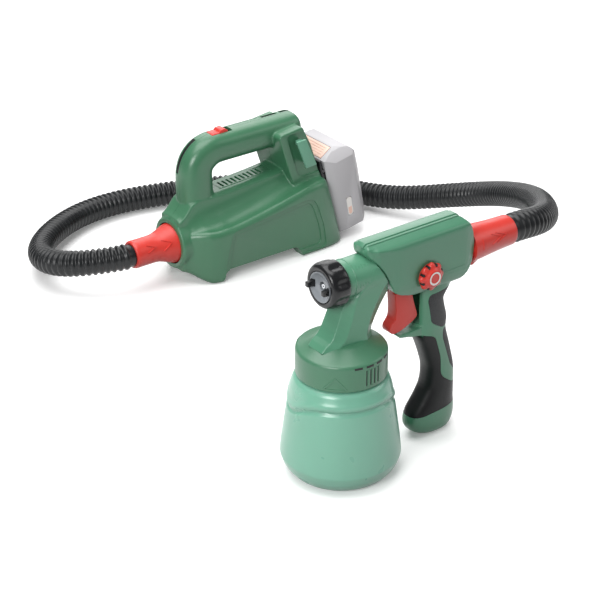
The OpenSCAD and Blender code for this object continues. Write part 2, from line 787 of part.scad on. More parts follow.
function hose_ring(s, r, sides) = let (p = hose_point(s), h = hose_heading(s),
    across = unit(cross(h, [0, 0, 1])), up = cross(across, h))
    [for (j = [0:sides - 1]) let (t = 360 * (j + 0.5) / sides)
        p + r * (cos(t) * up + sin(t) * across)];

module air_hose() {
    sides = 8;
    plain = 2 * hose_r;
    ribs = floor((hose_l - 2 * plain) / rib_pitch);
    start = (hose_l - ribs * rib_pitch) / 2;
    flat_r = hose_r / cos(180 / sides);
    outer_s = concat([[0, flat_r - rib_d]], [for (i = [0:ribs - 1]) each
        [[start + i * rib_pitch, flat_r - rib_d], [start + (i + 0.5) * rib_pitch, flat_r]]],
        [[hose_l - start, flat_r - rib_d], [hose_l, flat_r - rib_d]]);
    inner_n = 70;
    outer = [for (q = outer_s) hose_ring(q[0], q[1], sides)];
    inner = [for (i = [0:inner_n]) hose_ring(hose_l * i / inner_n, hose_bore_r, sides)];
    m = len(outer);
    k = len(inner);
    base = m * sides;
    walls = [for (i = [0:m - 2], j = [0:sides - 1])
        let (a = i * sides + j, b = i * sides + (j + 1) % sides)
        each [[a, a + sides, b], [b, a + sides, b + sides]]];
    bore = [for (i = [0:k - 2], j = [0:sides - 1])
        let (a = base + i * sides + j, b = base + i * sides + (j + 1) % sides)
        each [[a, b, a + sides], [b, b + sides, a + sides]]];
    ends = [for (j = [0:sides - 1])
        let (jn = (j + 1) % sides, lo = (m - 1) * sides, li = base + (k - 1) * sides)
        each [[j, jn, base + j], [jn, base + jn, base + j],
            [lo + j, li + j, lo + jn], [lo + jn, li + j, li + jn]]];
    echo(hose_length = hose_l, ribs = ribs);
    color("#2A2D30")
        polyhedron([for (loop = concat(outer, inner)) each loop], concat(walls, bore, ends),
            convexity = 12);
}

// ---- base unit: outside form ----
// Body stations from front to back: [X at the floor, lean, half width, shoulder height, top height,
// height of the underside]. The nose rises off the floor ahead of the front feet.
body_stations = [[base_x0 - 3, 0, base_w - 22.5, 54, 70, 15], [base_x0 + 2, 0, base_w - 21, 56, 73, 13],
    [base_x0 + 7, 0, base_w - 17, 58, 78, 10.5], [base_x0 + 13, 0, base_w - 11.5, 59, 85, 6],
    [base_x0 + 21, 0, base_w - 6, 60, 89, 1.2], [base_x0 + 25, 0, base_w - 4, 60, 89, 0],
    [base_x0 + 32, 0, base_w - 1.7, 60, 89, 0], [base_x0 + 42, 0, base_w - 0.5, 61, 89, 0],
    [140, 0.02, base_w, 62, 89, 0], [180, 0.08, base_w, 68, 91, 0], [220, 0.16, base_w, 75, 94, 0],
    [248, 0.22, base_w, 80, 97, 0], [266, 0.25, base_w - 1, 82, 98, 0],
    [277, 0.26, base_w - 4, 82, 98, 0], [283, 0.27, base_w - 8.5, 80, 97, 0]];
neck_w_in = 17.5;

function bell(w, shoulder, top, floor_z) = let (bend = [0, 22, 45, 68, 90], n = min(neck_w_in, w - 6))
    concat([[0, floor_z], [w - 4, floor_z], [w, floor_z + 5], [w, shoulder - 9], [w - 1.5, shoulder - 3]],
        [for (q = bend) [n + (w - 5 - n) * (1 - sin(q)), shoulder + (top - shoulder) * (1 - cos(q))]],
        [[n - 6, top + 2], [0, top + 2.5]]);
function mirrored(half) = concat(half, [for (i = [len(half) - 2:-1:1]) [-half[i][0], half[i][1]]]);

module body_form(inset, floor_z) {
    skin([for (s = body_stations)
        let (edge = s[0] < 120 ? inset : s[0] > 230 ? -inset : 0, low = max(floor_z, s[5] + inset))
        [for (p = mirrored(bell(s[2] - inset, s[3] - inset * 0.6, s[4] - inset, low)))
            [s[0] + edge - s[1] * p[1], base_y + p[0], p[1]]]]);
}

carry_top_z = 137.7 + carry_h;
// The carry handle's centre line: [X, Z, half thickness, tilt of the slice].
carry_slices = [[113, 70, 19, 0], [113, 88, 19, 0], [112.5, 106, 18.8, 0], [113, 118, 18.5, 8],
    [117, 127, 18.5, 28], [124, 133.5, 18, 50], [133, 137, carry_h + 0.6, 74],
    [145, 137.7, carry_h, 90], [185, 137.7, carry_h, 90], [222, 137.7, carry_h, 90],
    [236, 137.7, carry_h, 90], [240, 137, carry_h - 0.4, 90], [243, 136, carry_h - 2.3, 90],
    [245, 135, carry_h - 5.3, 90], [246, 134.5, carry_h - 9.5, 90]];
// The handle's rear leg, which goes down into the battery block.
leg_slices = [[229, 139, 11, 172], [234, 126, 16, 172], [238, 112, 16, 172],
    [241.5, 96, 15.5, 172], [244, 80, 15.5, 172]];

module carry_skin(slices, inset) {
    skin([for (s = slices)
        let (edge = s[3] == 90 && s[0] > 238 ? -inset : 0)
        [for (p = oval(s[2] - inset, min(carry_w, s[2] + 1) - inset, 20, 2.6))
            [s[0] + edge - p[0] * cos(s[3]), base_y - p[1], s[1] + p[0] * sin(s[3])]]]);
}

module carry_form(inset) {
    carry_skin(carry_slices, inset);
    carry_skin(leg_slices, inset);
}

// The dock's front plane, its half width and the top of its plate, in the dock's own axes.
dock_u = -17;
dock_w = 31;
dock_v1 = 46;

module at_dock() {
    translate([dock_x, base_y, dock_z])
        rotate([0, -batt_lean, 0])
            children();
}

block_side = [[223, 78], [217, 95], [203, 139], [206, 142.5], [234, 146], [240, 134], [246, 122],
    [256, 90], [262, 78]];

module block_form(inset) {
    w = block_w - inset;
    intersection() {
        slab_y([for (p = block_side) [p[0] + (p[0] < 230 ? inset : -inset),
            p[1] - (p[1] > 100 ? inset : 0)]], base_y - w, base_y + w);
        slab_x([[base_y - w, 60], [base_y - w, 143 - inset], [base_y - w + 4, 147],
            [base_y + w - 4, 147], [base_y + w, 143 - inset], [base_y + w, 60]], 190, 290);
    }
}

// Everything behind the dock's back plane, where the battery goes.
module dock_room() {
    at_dock() {
        translate([dock_u, -dock_w, -60])
            cube([80, 2 * dock_w, 60 + dock_v1 + 8]);
        translate([-2, -60, -70])
            cube([80, 120, 240]);
    }
}

module base_outside() {
    body_form(0, 0);
    carry_form(0);
    block_form(0);
    translate([0, base_y, 0])
        rod_x(base_x0 - 5, base_x0 + 14, collar_r, outlet_z);
}

// The hollow: its floor lies above the arches between the feet.
module base_hollow() {
    body_form(base_wall, foot_h + base_wall);
    carry_form(base_wall);
    block_form(base_wall);
}

side_panel = [[121, 8], [126, 30], [133, 52], [230, 62], [238, 58], [246, 36], [250, 8]];
side_arch = [[117, -1], [123, foot_h], [218, foot_h], [226, -1]];

module arches() {
    slab_y(side_arch, base_y - 60, base_y + 60);
    slab_x([[base_y - 30, -1], [base_y - 24, foot_h - 5], [base_y + 24, foot_h - 5],
        [base_y + 30, -1]], 60, 300);
}

// Places of the screws that join the shells, each in a boss across the middle plane.
base_screw_places = [[100, 74], [113, 104], [176, 137.7], [212, 137.7], [237, 112], [250, 24],
    [118, 19.6]];
base_seat_y = base_y + 8;
base_shank_r = 1.8;
base_head_r = 3.2;

module base_bosses() {
    for (p = base_screw_places)
        rod_y(p[0], p[1], base_head_r + 1.2, base_y - 60, base_y + 60, small_fn);
}

module base_screw_bores() {
    for (p = base_screw_places) {
        rod_y(p[0], p[1], base_head_r + 0.2, base_seat_y, base_y + 70, small_fn);
        rod_y(p[0], p[1], base_shank_r, base_seat_y - 20, base_seat_y + 1, small_fn);
    }
}

module base_shell(side) {
    difference() {
        intersection() {
            difference() {
                base_outside();
                difference() {
                    base_hollow();
                    base_bosses();
                }
            }
            box([0, 400], side < 0 ? [base_y - 80, base_y] : [base_y, base_y + 80], [-5, 200]);
        }
        arches();
        dock_room();
        slab_y(side_panel, side < 0 ? base_y - 60 : base_y + base_w - panel_d,
            side < 0 ? base_y - base_w + panel_d : base_y + 60);
        translate([0, base_y, 0])
            rod_x(base_x0 - 8, base_x0 + 30, 22.8, outlet_z);
        grille_room();
        switch_room();
        strap_room();
        base_screw_bores();
    }
}

module base_shell_left() {
    color("#4A7A5C")
        base_shell(-1);
}

module base_shell_right() {
    color("#4A7A5C")
        base_shell(1);
}

module base_screws() {
    color("#8F9499")
        for (p = base_screw_places)
            screw(p[0], p[1], base_seat_y, 20, base_head_r, base_shank_r);
}

// ---- air outlet, turbine and motor ----
turbine_z = foot_h + base_wall + wheel_r + 5.5;
volute_x0 = 130;
volute_x1 = volute_x0 + 20;
motor_x0 = volute_x1 + 4;

module outlet_duct() {
    color("#2B2D2F")
        translate([0, base_y, 0])
            difference() {
                union() {
                    rod_x(base_x0 + 4, base_x0 + 24, 22.7, outlet_z);
                    rod_x(base_x0 + 24, volute_x0, 18, outlet_z);
                }
                rod_x(base_x0, base_x0 + 22.1, 17.1, outlet_z);
                rod_x(base_x0, volute_x0 + 1, 15, outlet_z);
            }
}

module volute() {
    color("#34373A")
        translate([0, base_y, 0])
            difference() {
                rod_x(volute_x0, volute_x1, wheel_r + 5.5, turbine_z);
                rod_x(volute_x0 + 2.5, volute_x1 - 2, wheel_r + 2.5, turbine_z);
                rod_x(volute_x0 - 1, volute_x0 + 3, 14, outlet_z);
                rod_x(volute_x1 - 3, volute_x1 + 1, 9, turbine_z);
            }
}

module impeller() {
    x0 = volute_x0 + 4;
    color("#C7C9CC")
        translate([0, base_y, 0])
            difference() {
                union() {
                    rod_x(x0 + 9, x0 + 11, wheel_r, turbine_z);
                    rod_x(x0, x0 + 11, shaft_r + 4, turbine_z);
                    for (i = [0:blades - 1])
                        translate([x0 + 2, 0, turbine_z])
                            rotate([360 * i / blades, 0, 0])
                                translate([0, -0.7, shaft_r + 2])
                                    cube([7.5, 1.4, wheel_r - shaft_r - 2.6]);
                }
                rod_x(x0 - 1, x0 + 12, shaft_r, turbine_z, fn = small_fn);
            }
}

module motor_shaft() {
    color("#D8DADD")
        translate([0, base_y, 0])
            rod_x(volute_x0 + 4, motor_x0 + motor_l - 4, shaft_r, turbine_z, fn = small_fn);
}

module motor_can() {
    color("#8A8E93")
        translate([0, base_y, 0])
            difference() {
                union() {
                    rod_x(motor_x0, motor_x0 + motor_l, motor_r, turbine_z);
                    rod_x(volute_x1, motor_x0, 8.9, turbine_z);
                }
                rod_x(volute_x1 - 1, motor_x0 + motor_l - 3, shaft_r + pin_play, turbine_z,
                    fn = small_fn);
                rod_x(motor_x0 + 8, motor_x0 + motor_l - 8, motor_r - 3, turbine_z);
            }
}

// Two saddles that stand on the floor of the shells and carry the motor and the turbine.
module motor_mounts() {
    z0 = foot_h + base_wall;
    color("#3B3E41")
        translate([0, base_y, 0])
            difference() {
                for (x = [motor_x0 + 5, motor_x0 + motor_l - 12])
                    box([x, x + 7], [-24, 24], [z0, turbine_z + 4]);
                rod_x(motor_x0 - 1, motor_x0 + motor_l + 1, motor_r, turbine_z);
            }
}

// ---- intake under the carry handle ----
grille_x0 = 140;
grille_x1 = 206;
grille_w = 8;
function grille_z(x) = 91.6 + (x - grille_x0) * 0.06;

module grille_room() {
    box([grille_x0, grille_x1], [base_y - grille_w, base_y + grille_w], [70, 110]);
}

module vent_grille() {
    pitch = 5.5;
    slats = floor((grille_x1 - grille_x0 - 8) / pitch);
    color("#3F6B50")
        difference() {
            intersection() {
                grille_room();
                slab_y([[grille_x0, grille_z(grille_x0) - 4], [grille_x0, grille_z(grille_x0)],
                    [grille_x1, grille_z(grille_x1)], [grille_x1, grille_z(grille_x1) - 4]],
                    base_y - 20, base_y + 20);
            }
            for (i = [0:slats - 1])
                box([grille_x0 + 5 + i * pitch, grille_x0 + 7.6 + i * pitch],
                    [base_y - grille_w + 2, base_y + grille_w - 2], [80, 110]);
        }
}

module air_filter() {
    color("#55585B")
        slab_y([[grille_x0 + 1, grille_z(grille_x0) - 13], [grille_x0 + 1, grille_z(grille_x0) - 4.1],
            [grille_x1 - 1, grille_z(grille_x1) - 4.1], [grille_x1 - 1, grille_z(grille_x1) - 13]],
            base_y - grille_w, base_y + grille_w);
}

// ---- electrics ----
module control_board() {
    z0 = foot_h + base_wall;
    color("#2F6B45")
        translate([0, base_y, 0]) {
            box([motor_x0 + motor_l + 6, motor_x0 + motor_l + 7.6], [-26, 26], [z0, z0 + 44]);
            for (p = [[-14, 22], [2, 16], [13, 30]])
                box([motor_x0 + motor_l + 7.6, motor_x0 + motor_l + 14], [p[0] - 4, p[0] + 4],
                    [z0 + p[1] - 5, z0 + p[1] + 5]);
        }
}

switch_x = 146;

module switch_room() {
    translate([switch_x, base_y, carry_top_z])
        translate([-switch_l / 2, -switch_w / 2 - 0.3, -8])
            cube([switch_l, switch_w + 0.6, 20]);
}

// The slider: a low plate with a raised thumb ridge towards the back.
module power_switch() {
    l = switch_l - switch_travel - 0.6;
    translate([switch_x - switch_l / 2 + 0.3, base_y, carry_top_z])
        color("#D9443E")
            slab_y([[0, -5.5], [0, -0.4], [2, 0.2], [9, 0.2], [11, 2.6], [l - 4, 3.2], [l, 0.6],
                [l, -5.5]], -switch_w / 2, switch_w / 2);
}

// The electric switch under the slider, between the two shells.
module switch_module() {
    color("#2B2B2B") {
        translate([switch_x, base_y, carry_top_z])
            box([-13, 13], [-carry_w + base_wall + 2.2, carry_w - base_wall - 2.2], [-16, -8.2]);
        translate([switch_x, base_y, carry_top_z])
            box([-10, 10], [-4, 4], [-8.2, -5.7]);
    }
}

// ---- carrying strap ----
strap_spans = [[203, 223], [227, 240]];

module strap_room() {
    for (span = strap_spans)
        box(span, [base_y + 2, base_y + 7], [carry_top_z - 5, carry_top_z + 5]);
    rotate_about(124, 124)
        box([-34, -24], [base_y + 2, base_y + 7], [-8, 34]);
}

module rotate_about(x, z) {
    translate([x, 0, z])
        rotate([0, -18, 0])
            children();
}

module strap_slots() {
    color("#1B1C1E") {
        intersection() {
            union() {
                for (span = strap_spans)
                    box(span, [base_y + 2, base_y + 7], [carry_top_z - 5, carry_top_z - 1.2]);
                rotate_about(124, 124)
                    box([-34, -24], [base_y + 2, base_y + 7], [-8, 34]);
            }
            carry_form(1.2);
        }
    }
}

// Plate on each side of the battery block, with two posts: the strap goes through behind it.
bracket_side = [[219, 135], [231, 135.5], [245.5, 103], [231.5, 102]];

module strap_brackets() {
    color("#7FB89C")
        for (side = [-1, 1])
            translate([0, base_y, 0]) {
                slab_y(bracket_side, side > 0 ? block_w + 7.5 : -block_w - 10,
                    side > 0 ? block_w + 10 : -block_w - 7.5);
                for (p = [[224, 131], [236, 106]])
                    slab_y([[p[0], p[1] - 2.5], [p[0], p[1] + 2.5], [p[0] + 7, p[1] + 2.5],
                        [p[0] + 7, p[1] - 2.5]], side > 0 ? block_w : -block_w - 8,
                        side > 0 ? block_w + 8 : -block_w);
            }
}

// ---- battery dock ----
module battery_dock() {
    low_v = 2 - batt_low;
    color("#232527")
        at_dock() {
            translate([dock_u, -dock_w, low_v])
                cube([2.5, 2 * dock_w, dock_v1 - low_v]);
            translate([dock_u, -dock_w, low_v - 2])
                cube([12, 2 * dock_w, 2]);
            for (side = [-1, 1])
                scale_y(side) {
                    translate([-14.6, rail_w + 0.5, low_v - 1])
                        cube([8.7, dock_w - rail_w - 0.5, 31 - low_v]);
                    translate([-9.5 + rail_play, rail_w - 4, low_v - 1])
                        cube([3.3, dock_w - rail_w + 4, 31 - low_v]);
                }
        }
}

module scale_y(side) {
    mirror([0, side < 0 ? 1 : 0, 0])
        children();
}

module dock_contacts() {
    color("#C9A24A")
        at_dock()
            for (y = contact_spots)
                translate([dock_u + 2.5, y - 0.5, -30])
                    cube([7, 1, 16]);
}

// ---- battery ----
// In the dock's axes: u is the thickness, v the height along the slope.
batt_side = [[-9, 2 - batt_low], [-7, -batt_low], [batt_t - 4, -batt_low], [batt_t, 5 - batt_low],
    [batt_t, 16], [batt_t - 2.5, 38], [batt_t - 10, batt_top - 5], [8, batt_top], [6, batt_top],
    [-12, batt_top - 8], [-12, 20]];
head_v = 34;
cell_r = 8.5;
cell_l = 64;
cell_top_v = 2.4 - batt_low + 10 * cell_r + 0.6;
cell_u = batt_t - 17;
button_slope = atan2(8, 18);
button_l = 16.6;
button_travel = 2.5;
contact_spots = [-15, -5, 5, 15];
display_u = 6;
display_w = 7;
display_v = -33;
display_l = 23.5;

// The sloped face at the top front, its own x up the slope and its own z out of the case.
module at_button() {
    at_dock()
        translate([-12, 0, batt_top - 8])
            rotate([0, -button_slope, 0])
                children();
}

module battery_outside() {
    w = batt_w;
    intersection() {
        slab_y(batt_side, -w, w);
        translate([0, 0, -60])
            linear_extrude(height = 140)
                polygon([[-20, 7 - w], [0, -w], [batt_t - 10, -w], [batt_t, 9 - w], [batt_t, w - 9],
                    [batt_t - 10, w], [0, w], [-20, w - 7]]);
        slab_x([[-w - 0.1, -60], [-w - 0.1, batt_top - 13.6], [-w + 7.4, batt_top - 2.5],
            [-w + 12.5, batt_top + 0.1], [w - 12.5, batt_top + 0.1], [w - 7.4, batt_top - 2.5],
            [w + 0.1, batt_top - 13.6], [w + 0.1, -60]], -30, 60);
    }
}

module battery_case() {
    w = batt_w;
    difference() {
        color("#C8C6C9")
            at_dock()
                difference() {
                    union() {
                        difference() {
                            battery_outside();
                            translate([-20, -dock_w - rail_play, -60])
                                cube([20, 2 * (dock_w + rail_play), 60 + head_v]);
                        }
                        translate([-14, -rail_w, 2 - batt_low])
                            cube([4.5, 2 * rail_w, batt_low + 30]);
                        translate([-14, 4.6 - rail_w, 2 - batt_low])
                            cube([15, 2 * rail_w - 9.2, batt_low + 30]);
                    }
                    slab_y([[cell_u - cell_r, 2.4 - batt_low], [batt_t - 6, 2.4 - batt_low],
                        [batt_t - 5.5, 35], [batt_t - 9, cell_top_v],
                        [cell_u - cell_r, cell_top_v]], -cell_l / 2 - 0.4, cell_l / 2 + 0.4);
                    for (y = contact_spots)
                        translate([-15, y - 1.2, 1 - batt_low])
                            cube([10, 2.4, 40]);
                    translate([display_u, -w - 1, display_v])
                        cube([display_w, 2.5, display_l]);
                }
        at_button()
            translate([1.6, -button_w - 0.4, -7.5])
                cube([button_l + 0.8, 2 * button_w + 0.8, 12]);
    }
}

// Five round cells lie across the battery, one above the other.
module battery_cells() {
    color("#5B8DB8")
        at_dock()
            for (i = [0:4])
                rod_y(cell_u, 2.4 - batt_low + cell_r + i * (2 * cell_r + 0.1), cell_r,
                    -cell_l / 2, cell_l / 2);
}

module battery_contacts() {
    color("#C9A24A")
        at_dock()
            for (y = contact_spots)
                translate([-6, y - 1.2, -30])
                    cube([1, 2.4, 16]);
}

module battery_button() {
    color("#FBD9CC")
        at_button()
            difference() {
                slab_y([[2, -3.4], [2, 0], [2.6, 0.5], [button_l + 1, 0.5], [button_l + 2, 0],
                    [button_l + 2, -3.4]], -button_w, button_w);
                for (i = [0:3])
                    translate([5 + 3 * i, 4 - button_w, 0.1])
                        cube([1.2, 2 * button_w - 8, 2]);
            }
}

module button_spring() {
    color("#9FA3A8")
        at_button()
            for (y = [-12, 12])
                translate([2 + button_l / 2, y, -7.5])
                    difference() {
                        cylinder(h = 4.1, r = 3, $fn = small_fn);
                        translate([0, 0, -1])
                            cylinder(h = 7, r = 2, $fn = small_fn);
                    }
}

module charge_display() {
    color("#F4EDE8")
        at_dock()
            translate([display_u, 0.2 - batt_w, display_v])
                cube([display_w, 1.3, display_l]);
}

in_frame() container();
in_frame() container_seal();
in_frame() suction_tube();
in_frame() container_lid();
in_frame() spray_head();
in_frame() fluid_nozzle();
in_frame() needle_gland();
in_frame() needle();
in_frame() needle_spring();
in_frame() spring_stop();
in_frame() air_cap();
in_frame() union_nut();
in_frame() gun_shell_left();
in_frame() gun_shell_right();
in_frame() trigger();
in_frame() trigger_pin();
in_frame() flow_dial();
in_frame() soft_grip();
in_frame() grip_inserts();
in_frame() gun_screws();
in_frame() gun_connector();
in_frame() air_hose();
in_frame() base_connector();
in_frame() base_shell_left();
in_frame() base_shell_right();
in_frame() outlet_duct();
in_frame() volute();
in_frame() impeller();
in_frame() motor_shaft();
in_frame() motor_can();
in_frame() motor_mounts();
in_frame() air_filter();
in_frame() vent_grille();
in_frame() control_board();
in_frame() power_switch();
in_frame() switch_module();
in_frame() strap_brackets();
in_frame() strap_slots();
in_frame() battery_dock();
in_frame() dock_contacts();
in_frame() base_screws();
in_frame() battery_case();
in_frame() battery_cells();
in_frame() battery_contacts();
in_frame() battery_button();
in_frame() button_spring();
in_frame() charge_display();
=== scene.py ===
# %% [markdown]
# A cordless paint sprayer in three groups: a base unit that blows air, a ribbed hose, and a gun on its
# paint container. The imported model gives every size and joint. This lesson dresses it: fine meshes take the
# place of the plain solids where a softer or more detailed form shows, and every piece gets its finish.

# %% Load the frame
import bisect
import json
import math

import bmesh
import bpy
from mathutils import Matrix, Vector


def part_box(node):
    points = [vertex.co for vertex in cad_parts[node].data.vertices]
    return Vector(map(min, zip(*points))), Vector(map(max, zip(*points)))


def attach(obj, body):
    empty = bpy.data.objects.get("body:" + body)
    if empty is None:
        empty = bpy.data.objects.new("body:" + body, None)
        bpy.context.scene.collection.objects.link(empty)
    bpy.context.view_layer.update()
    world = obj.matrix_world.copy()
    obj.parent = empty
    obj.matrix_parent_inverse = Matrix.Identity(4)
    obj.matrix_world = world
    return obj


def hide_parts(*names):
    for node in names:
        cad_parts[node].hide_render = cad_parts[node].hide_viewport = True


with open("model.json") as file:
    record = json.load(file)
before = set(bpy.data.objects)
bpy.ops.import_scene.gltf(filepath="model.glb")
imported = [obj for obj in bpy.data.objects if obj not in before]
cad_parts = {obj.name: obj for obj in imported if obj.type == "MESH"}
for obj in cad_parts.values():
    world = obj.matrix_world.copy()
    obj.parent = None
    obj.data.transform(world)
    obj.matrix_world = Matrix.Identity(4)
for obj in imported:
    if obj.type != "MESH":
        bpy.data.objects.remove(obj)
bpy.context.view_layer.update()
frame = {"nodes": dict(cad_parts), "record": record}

print("nodes in the frame:", len(frame["nodes"]))

# %% [markdown]
# All places below are in millimetres from the gun's own origin, the middle of the container's foot. The two
# units are found through their boxes, so the script follows the model if it moves.

# %% Places
MM = 0.001
foot_low, foot_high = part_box("container")
gun_x = (foot_low[0] + foot_high[0]) / 2
gun_y = (foot_low[1] + foot_high[1]) / 2
base_y = (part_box("base_shell_left")[1][1] - gun_y) / MM
axis_z = 186
NOZZLE_LINE = (0, 0, axis_z)
HOSE_Z = 178
INLET_LINE = (0, base_y, 42)
DIAL_X, DIAL_Z = 82, 172
DIAL_SPOT = (DIAL_X, 0, DIAL_Z)


def at(x, y, z):
    return Vector((gun_x + x * MM, gun_y + y * MM, z * MM))


def new_object(name, data):
    thing = bpy.data.objects.new(name, data)
    bpy.context.collection.objects.link(thing)
    return thing


print("middle plane of the base unit:", round(base_y, 2))

# %% [markdown]
# The camera stands in front and to the left, a little above the object, with a long lens, so both units keep
# their proportions. It looks down at a fixed slope.

# %% Camera
scene = bpy.context.scene
scene.view_settings.view_transform = "Standard"
SLOPE = math.radians(28)
look = Vector((0.602 * math.cos(SLOPE), 0.799 * math.cos(SLOPE), -math.sin(SLOPE)))
camera = new_object("camera", bpy.data.cameras.new("camera"))
camera.data.lens = 108
camera.data.sensor_width = 36
camera.data.clip_end = 20
camera.location = at(-843, -1059.2, 885.7)
camera.rotation_euler = look.to_track_quat("-Z", "Y").to_euler()
scene.camera = camera

# %% [markdown]
# Moulded plastic is never one flat colour: it has a fine grain, small changes of tone and an uneven sheen.
# One function mixes two close tones with a broad noise, and drives roughness and a shallow bump with finer
# ones. Colours are written as on screen and turned into light values here.

# %% Colours and noise
def light(code):
    parts = [int(code[i:i + 2], 16) / 255 for i in (1, 3, 5)]
    return [p / 12.92 if p <= 0.04045 else ((p + 0.055) / 1.055) ** 2.4 for p in parts]


def noise_node(nodes, links, scale, detail=2.0):
    place = nodes.new("ShaderNodeTexCoord")
    noise = nodes.new("ShaderNodeTexNoise")
    noise.inputs["Scale"].default_value = scale
    noise.inputs["Detail"].default_value = detail
    links.new(place.outputs["Object"], noise.inputs["Vector"])
    return noise


def span(nodes, links, source, low, high):
    ranged = nodes.new("ShaderNodeMapRange")
    ranged.inputs["From Min"].default_value = 0.3
    ranged.inputs["From Max"].default_value = 0.7
    ranged.inputs["To Min"].default_value = low
    ranged.inputs["To Max"].default_value = high
    links.new(source, ranged.inputs["Value"])
    return ranged.outputs["Result"]


# %% Moulded finish
def moulded(name, code, rough=0.42, spread=0.05, grain=0.12, grain_scale=2600, metal=0.0,
        broad=28, specular=0.5, sheen=0.05):
    material = bpy.data.materials.new(name)
    material.use_nodes = True
    nodes, links = material.node_tree.nodes, material.node_tree.links
    shader = nodes["Principled BSDF"]
    base = light(code)
    tone = nodes.new("ShaderNodeMix")
    tone.data_type = "RGBA"
    tone.inputs["A"].default_value = [c * (1 - spread) for c in base] + [1]
    tone.inputs["B"].default_value = [min(1, c * (1 + spread)) for c in base] + [1]
    wide = noise_node(nodes, links, broad)
    links.new(span(nodes, links, wide.outputs["Fac"], 0, 1), tone.inputs["Factor"])
    links.new(tone.outputs["Result"], shader.inputs["Base Color"])
    fine = noise_node(nodes, links, grain_scale, 3)
    links.new(span(nodes, links, wide.outputs["Fac"], rough - sheen, rough + sheen),
        shader.inputs["Roughness"])
    bump = nodes.new("ShaderNodeBump")
    bump.inputs["Strength"].default_value = grain
    bump.inputs["Distance"].default_value = 0.0002
    links.new(fine.outputs["Fac"], bump.inputs["Height"])
    links.new(bump.outputs["Normal"], shader.inputs["Normal"])
    shader.inputs["Metallic"].default_value = metal
    shader.inputs["Specular IOR Level"].default_value = specular
    material.diffuse_color = base + [1]
    return material


# %% [markdown]
# The container is a thin, milky plastic. A little light passes into it, so subsurface scattering softens its
# shade, and its surface is glossier than the shells of the gun.

# %% Finishes
container_green = moulded("container_green", "#77B39B", rough=0.28, spread=0.01, grain=0.03, specular=0.7,
    sheen=0.008)
milk = container_green.node_tree.nodes["Principled BSDF"]
milk.inputs["Subsurface Weight"].default_value = 0.25
milk.inputs["Subsurface Radius"].default_value = (0.004, 0.008, 0.006)
milk.inputs["Subsurface Scale"].default_value = 1.0
looks = [
    ("lid_green", "#44775B", dict(rough=0.34, specular=0.6)),
    ("head_green", "#508A6D", dict(rough=0.34, spread=0.03, specular=0.6)),
    ("gun_green", "#477F63", dict(rough=0.34, spread=0.03, specular=0.6)),
    ("base_green", "#3D7253", dict(rough=0.34, spread=0.03, specular=0.6)),
    ("tab_green", "#6AA489", dict(rough=0.4)),
    ("red_plastic", "#CE372E", dict(rough=0.36, spread=0.04)),
    ("black_plastic", "#151618", dict(rough=0.28, spread=0.12, specular=0.4)),
    ("soft_black", "#0D0E10", dict(rough=0.42, spread=0.12, grain=0.3, specular=0.25)),
    ("hose_black", "#141618", dict(rough=0.34, spread=0.12, grain=0.1, specular=0.4)),
    ("seal_rubber", "#C9C4B6", dict(rough=0.7)),
    ("tube_plastic", "#E6E6DE", dict(rough=0.5)),
    ("nozzle_metal", "#C4C7CA", dict(rough=0.28, metal=1.0, grain=0.05)),
    ("cap_grey", "#8A8F94", dict(rough=0.3, spread=0.08, grain=0.05)),
    ("steel", "#C9CBCE", dict(rough=0.25, metal=1.0, grain=0.08)),
    ("contact_brass", "#D0A650", dict(rough=0.3, metal=1.0, grain=0.05)),
    ("filter_foam", "#4A4D50", dict(rough=0.9, grain=0.9, grain_scale=900)),
    ("board_green", "#2C6A43", dict(rough=0.5, spread=0.2, broad=300)),
    ("battery_grey", "#BDBBBE", dict(rough=0.45, spread=0.02)),
    ("button_peach", "#F3CDBD", dict(rough=0.45, spread=0.02)),
    ("display_white", "#F2EEEA", dict(rough=0.2, spread=0.02, grain=0.02)),
    ("cell_wrap", "#5B8DB8", dict(rough=0.3))]
finishes = {"container_plastic": container_green}
for name, code, look in looks:
    finishes[name] = moulded(name, code, **look)
# A near-black finish for painted shade: dark plates and plugs set into slots, grooves and hollows stand in
# for the shadow inside them.
painted_shade = moulded("painted_shade", "#0B0C0D", rough=0.6, spread=0.2)
ring_white = moulded("ring_white", "#F1F0EC", rough=0.35, spread=0.02)
print("finishes:", len(finishes))

# %% [markdown]
# Each CAD node that keeps its own mesh gets the finish of its slot in the record. Those that a finer piece
# replaces later are hidden, and cost nothing.

# %% Dress the nodes
slot_of = {part["node"]: part["material_slot"] for part in frame["record"]["subparts"]}
for node, solid in frame["nodes"].items():
    solid.data.materials.clear()
    solid.data.materials.append(finishes[slot_of[node]])

# %% [markdown]
# A few helpers make meshes from outlines. A loft joins loops of equal length, a turned piece spins a profile
# about a line, a prism pushes an outline along an axis. Each returns an object that sits at the origin, with
# its place in its mesh, as the frame's own nodes do.

# %% Mesh helpers
def piece_from(name, points, faces):
    mesh = bpy.data.meshes.new(name)
    mesh.from_pydata([at(*p) for p in points], [], faces)
    shaper = bmesh.new()
    shaper.from_mesh(mesh)
    bmesh.ops.remove_doubles(shaper, verts=shaper.verts, dist=1e-7)
    bmesh.ops.recalc_face_normals(shaper, faces=shaper.faces)
    shaper.to_mesh(mesh)
    shaper.free()
    return new_object(name, mesh)


def loft(name, loops, closed_ends=True, ring=False):
    n, m = len(loops[0]), len(loops)
    points = [p for loop in loops for p in loop]
    last = m if ring else m - 1
    faces = [(i * n + j, i * n + (j + 1) % n, (i + 1) % m * n + (j + 1) % n, (i + 1) % m * n + j)
        for i in range(last) for j in range(n)]
    if closed_ends and not ring:
        faces.append(tuple(range(n - 1, -1, -1)))
        faces.append(tuple(range((m - 1) * n, m * n)))
    return piece_from(name, points, faces)


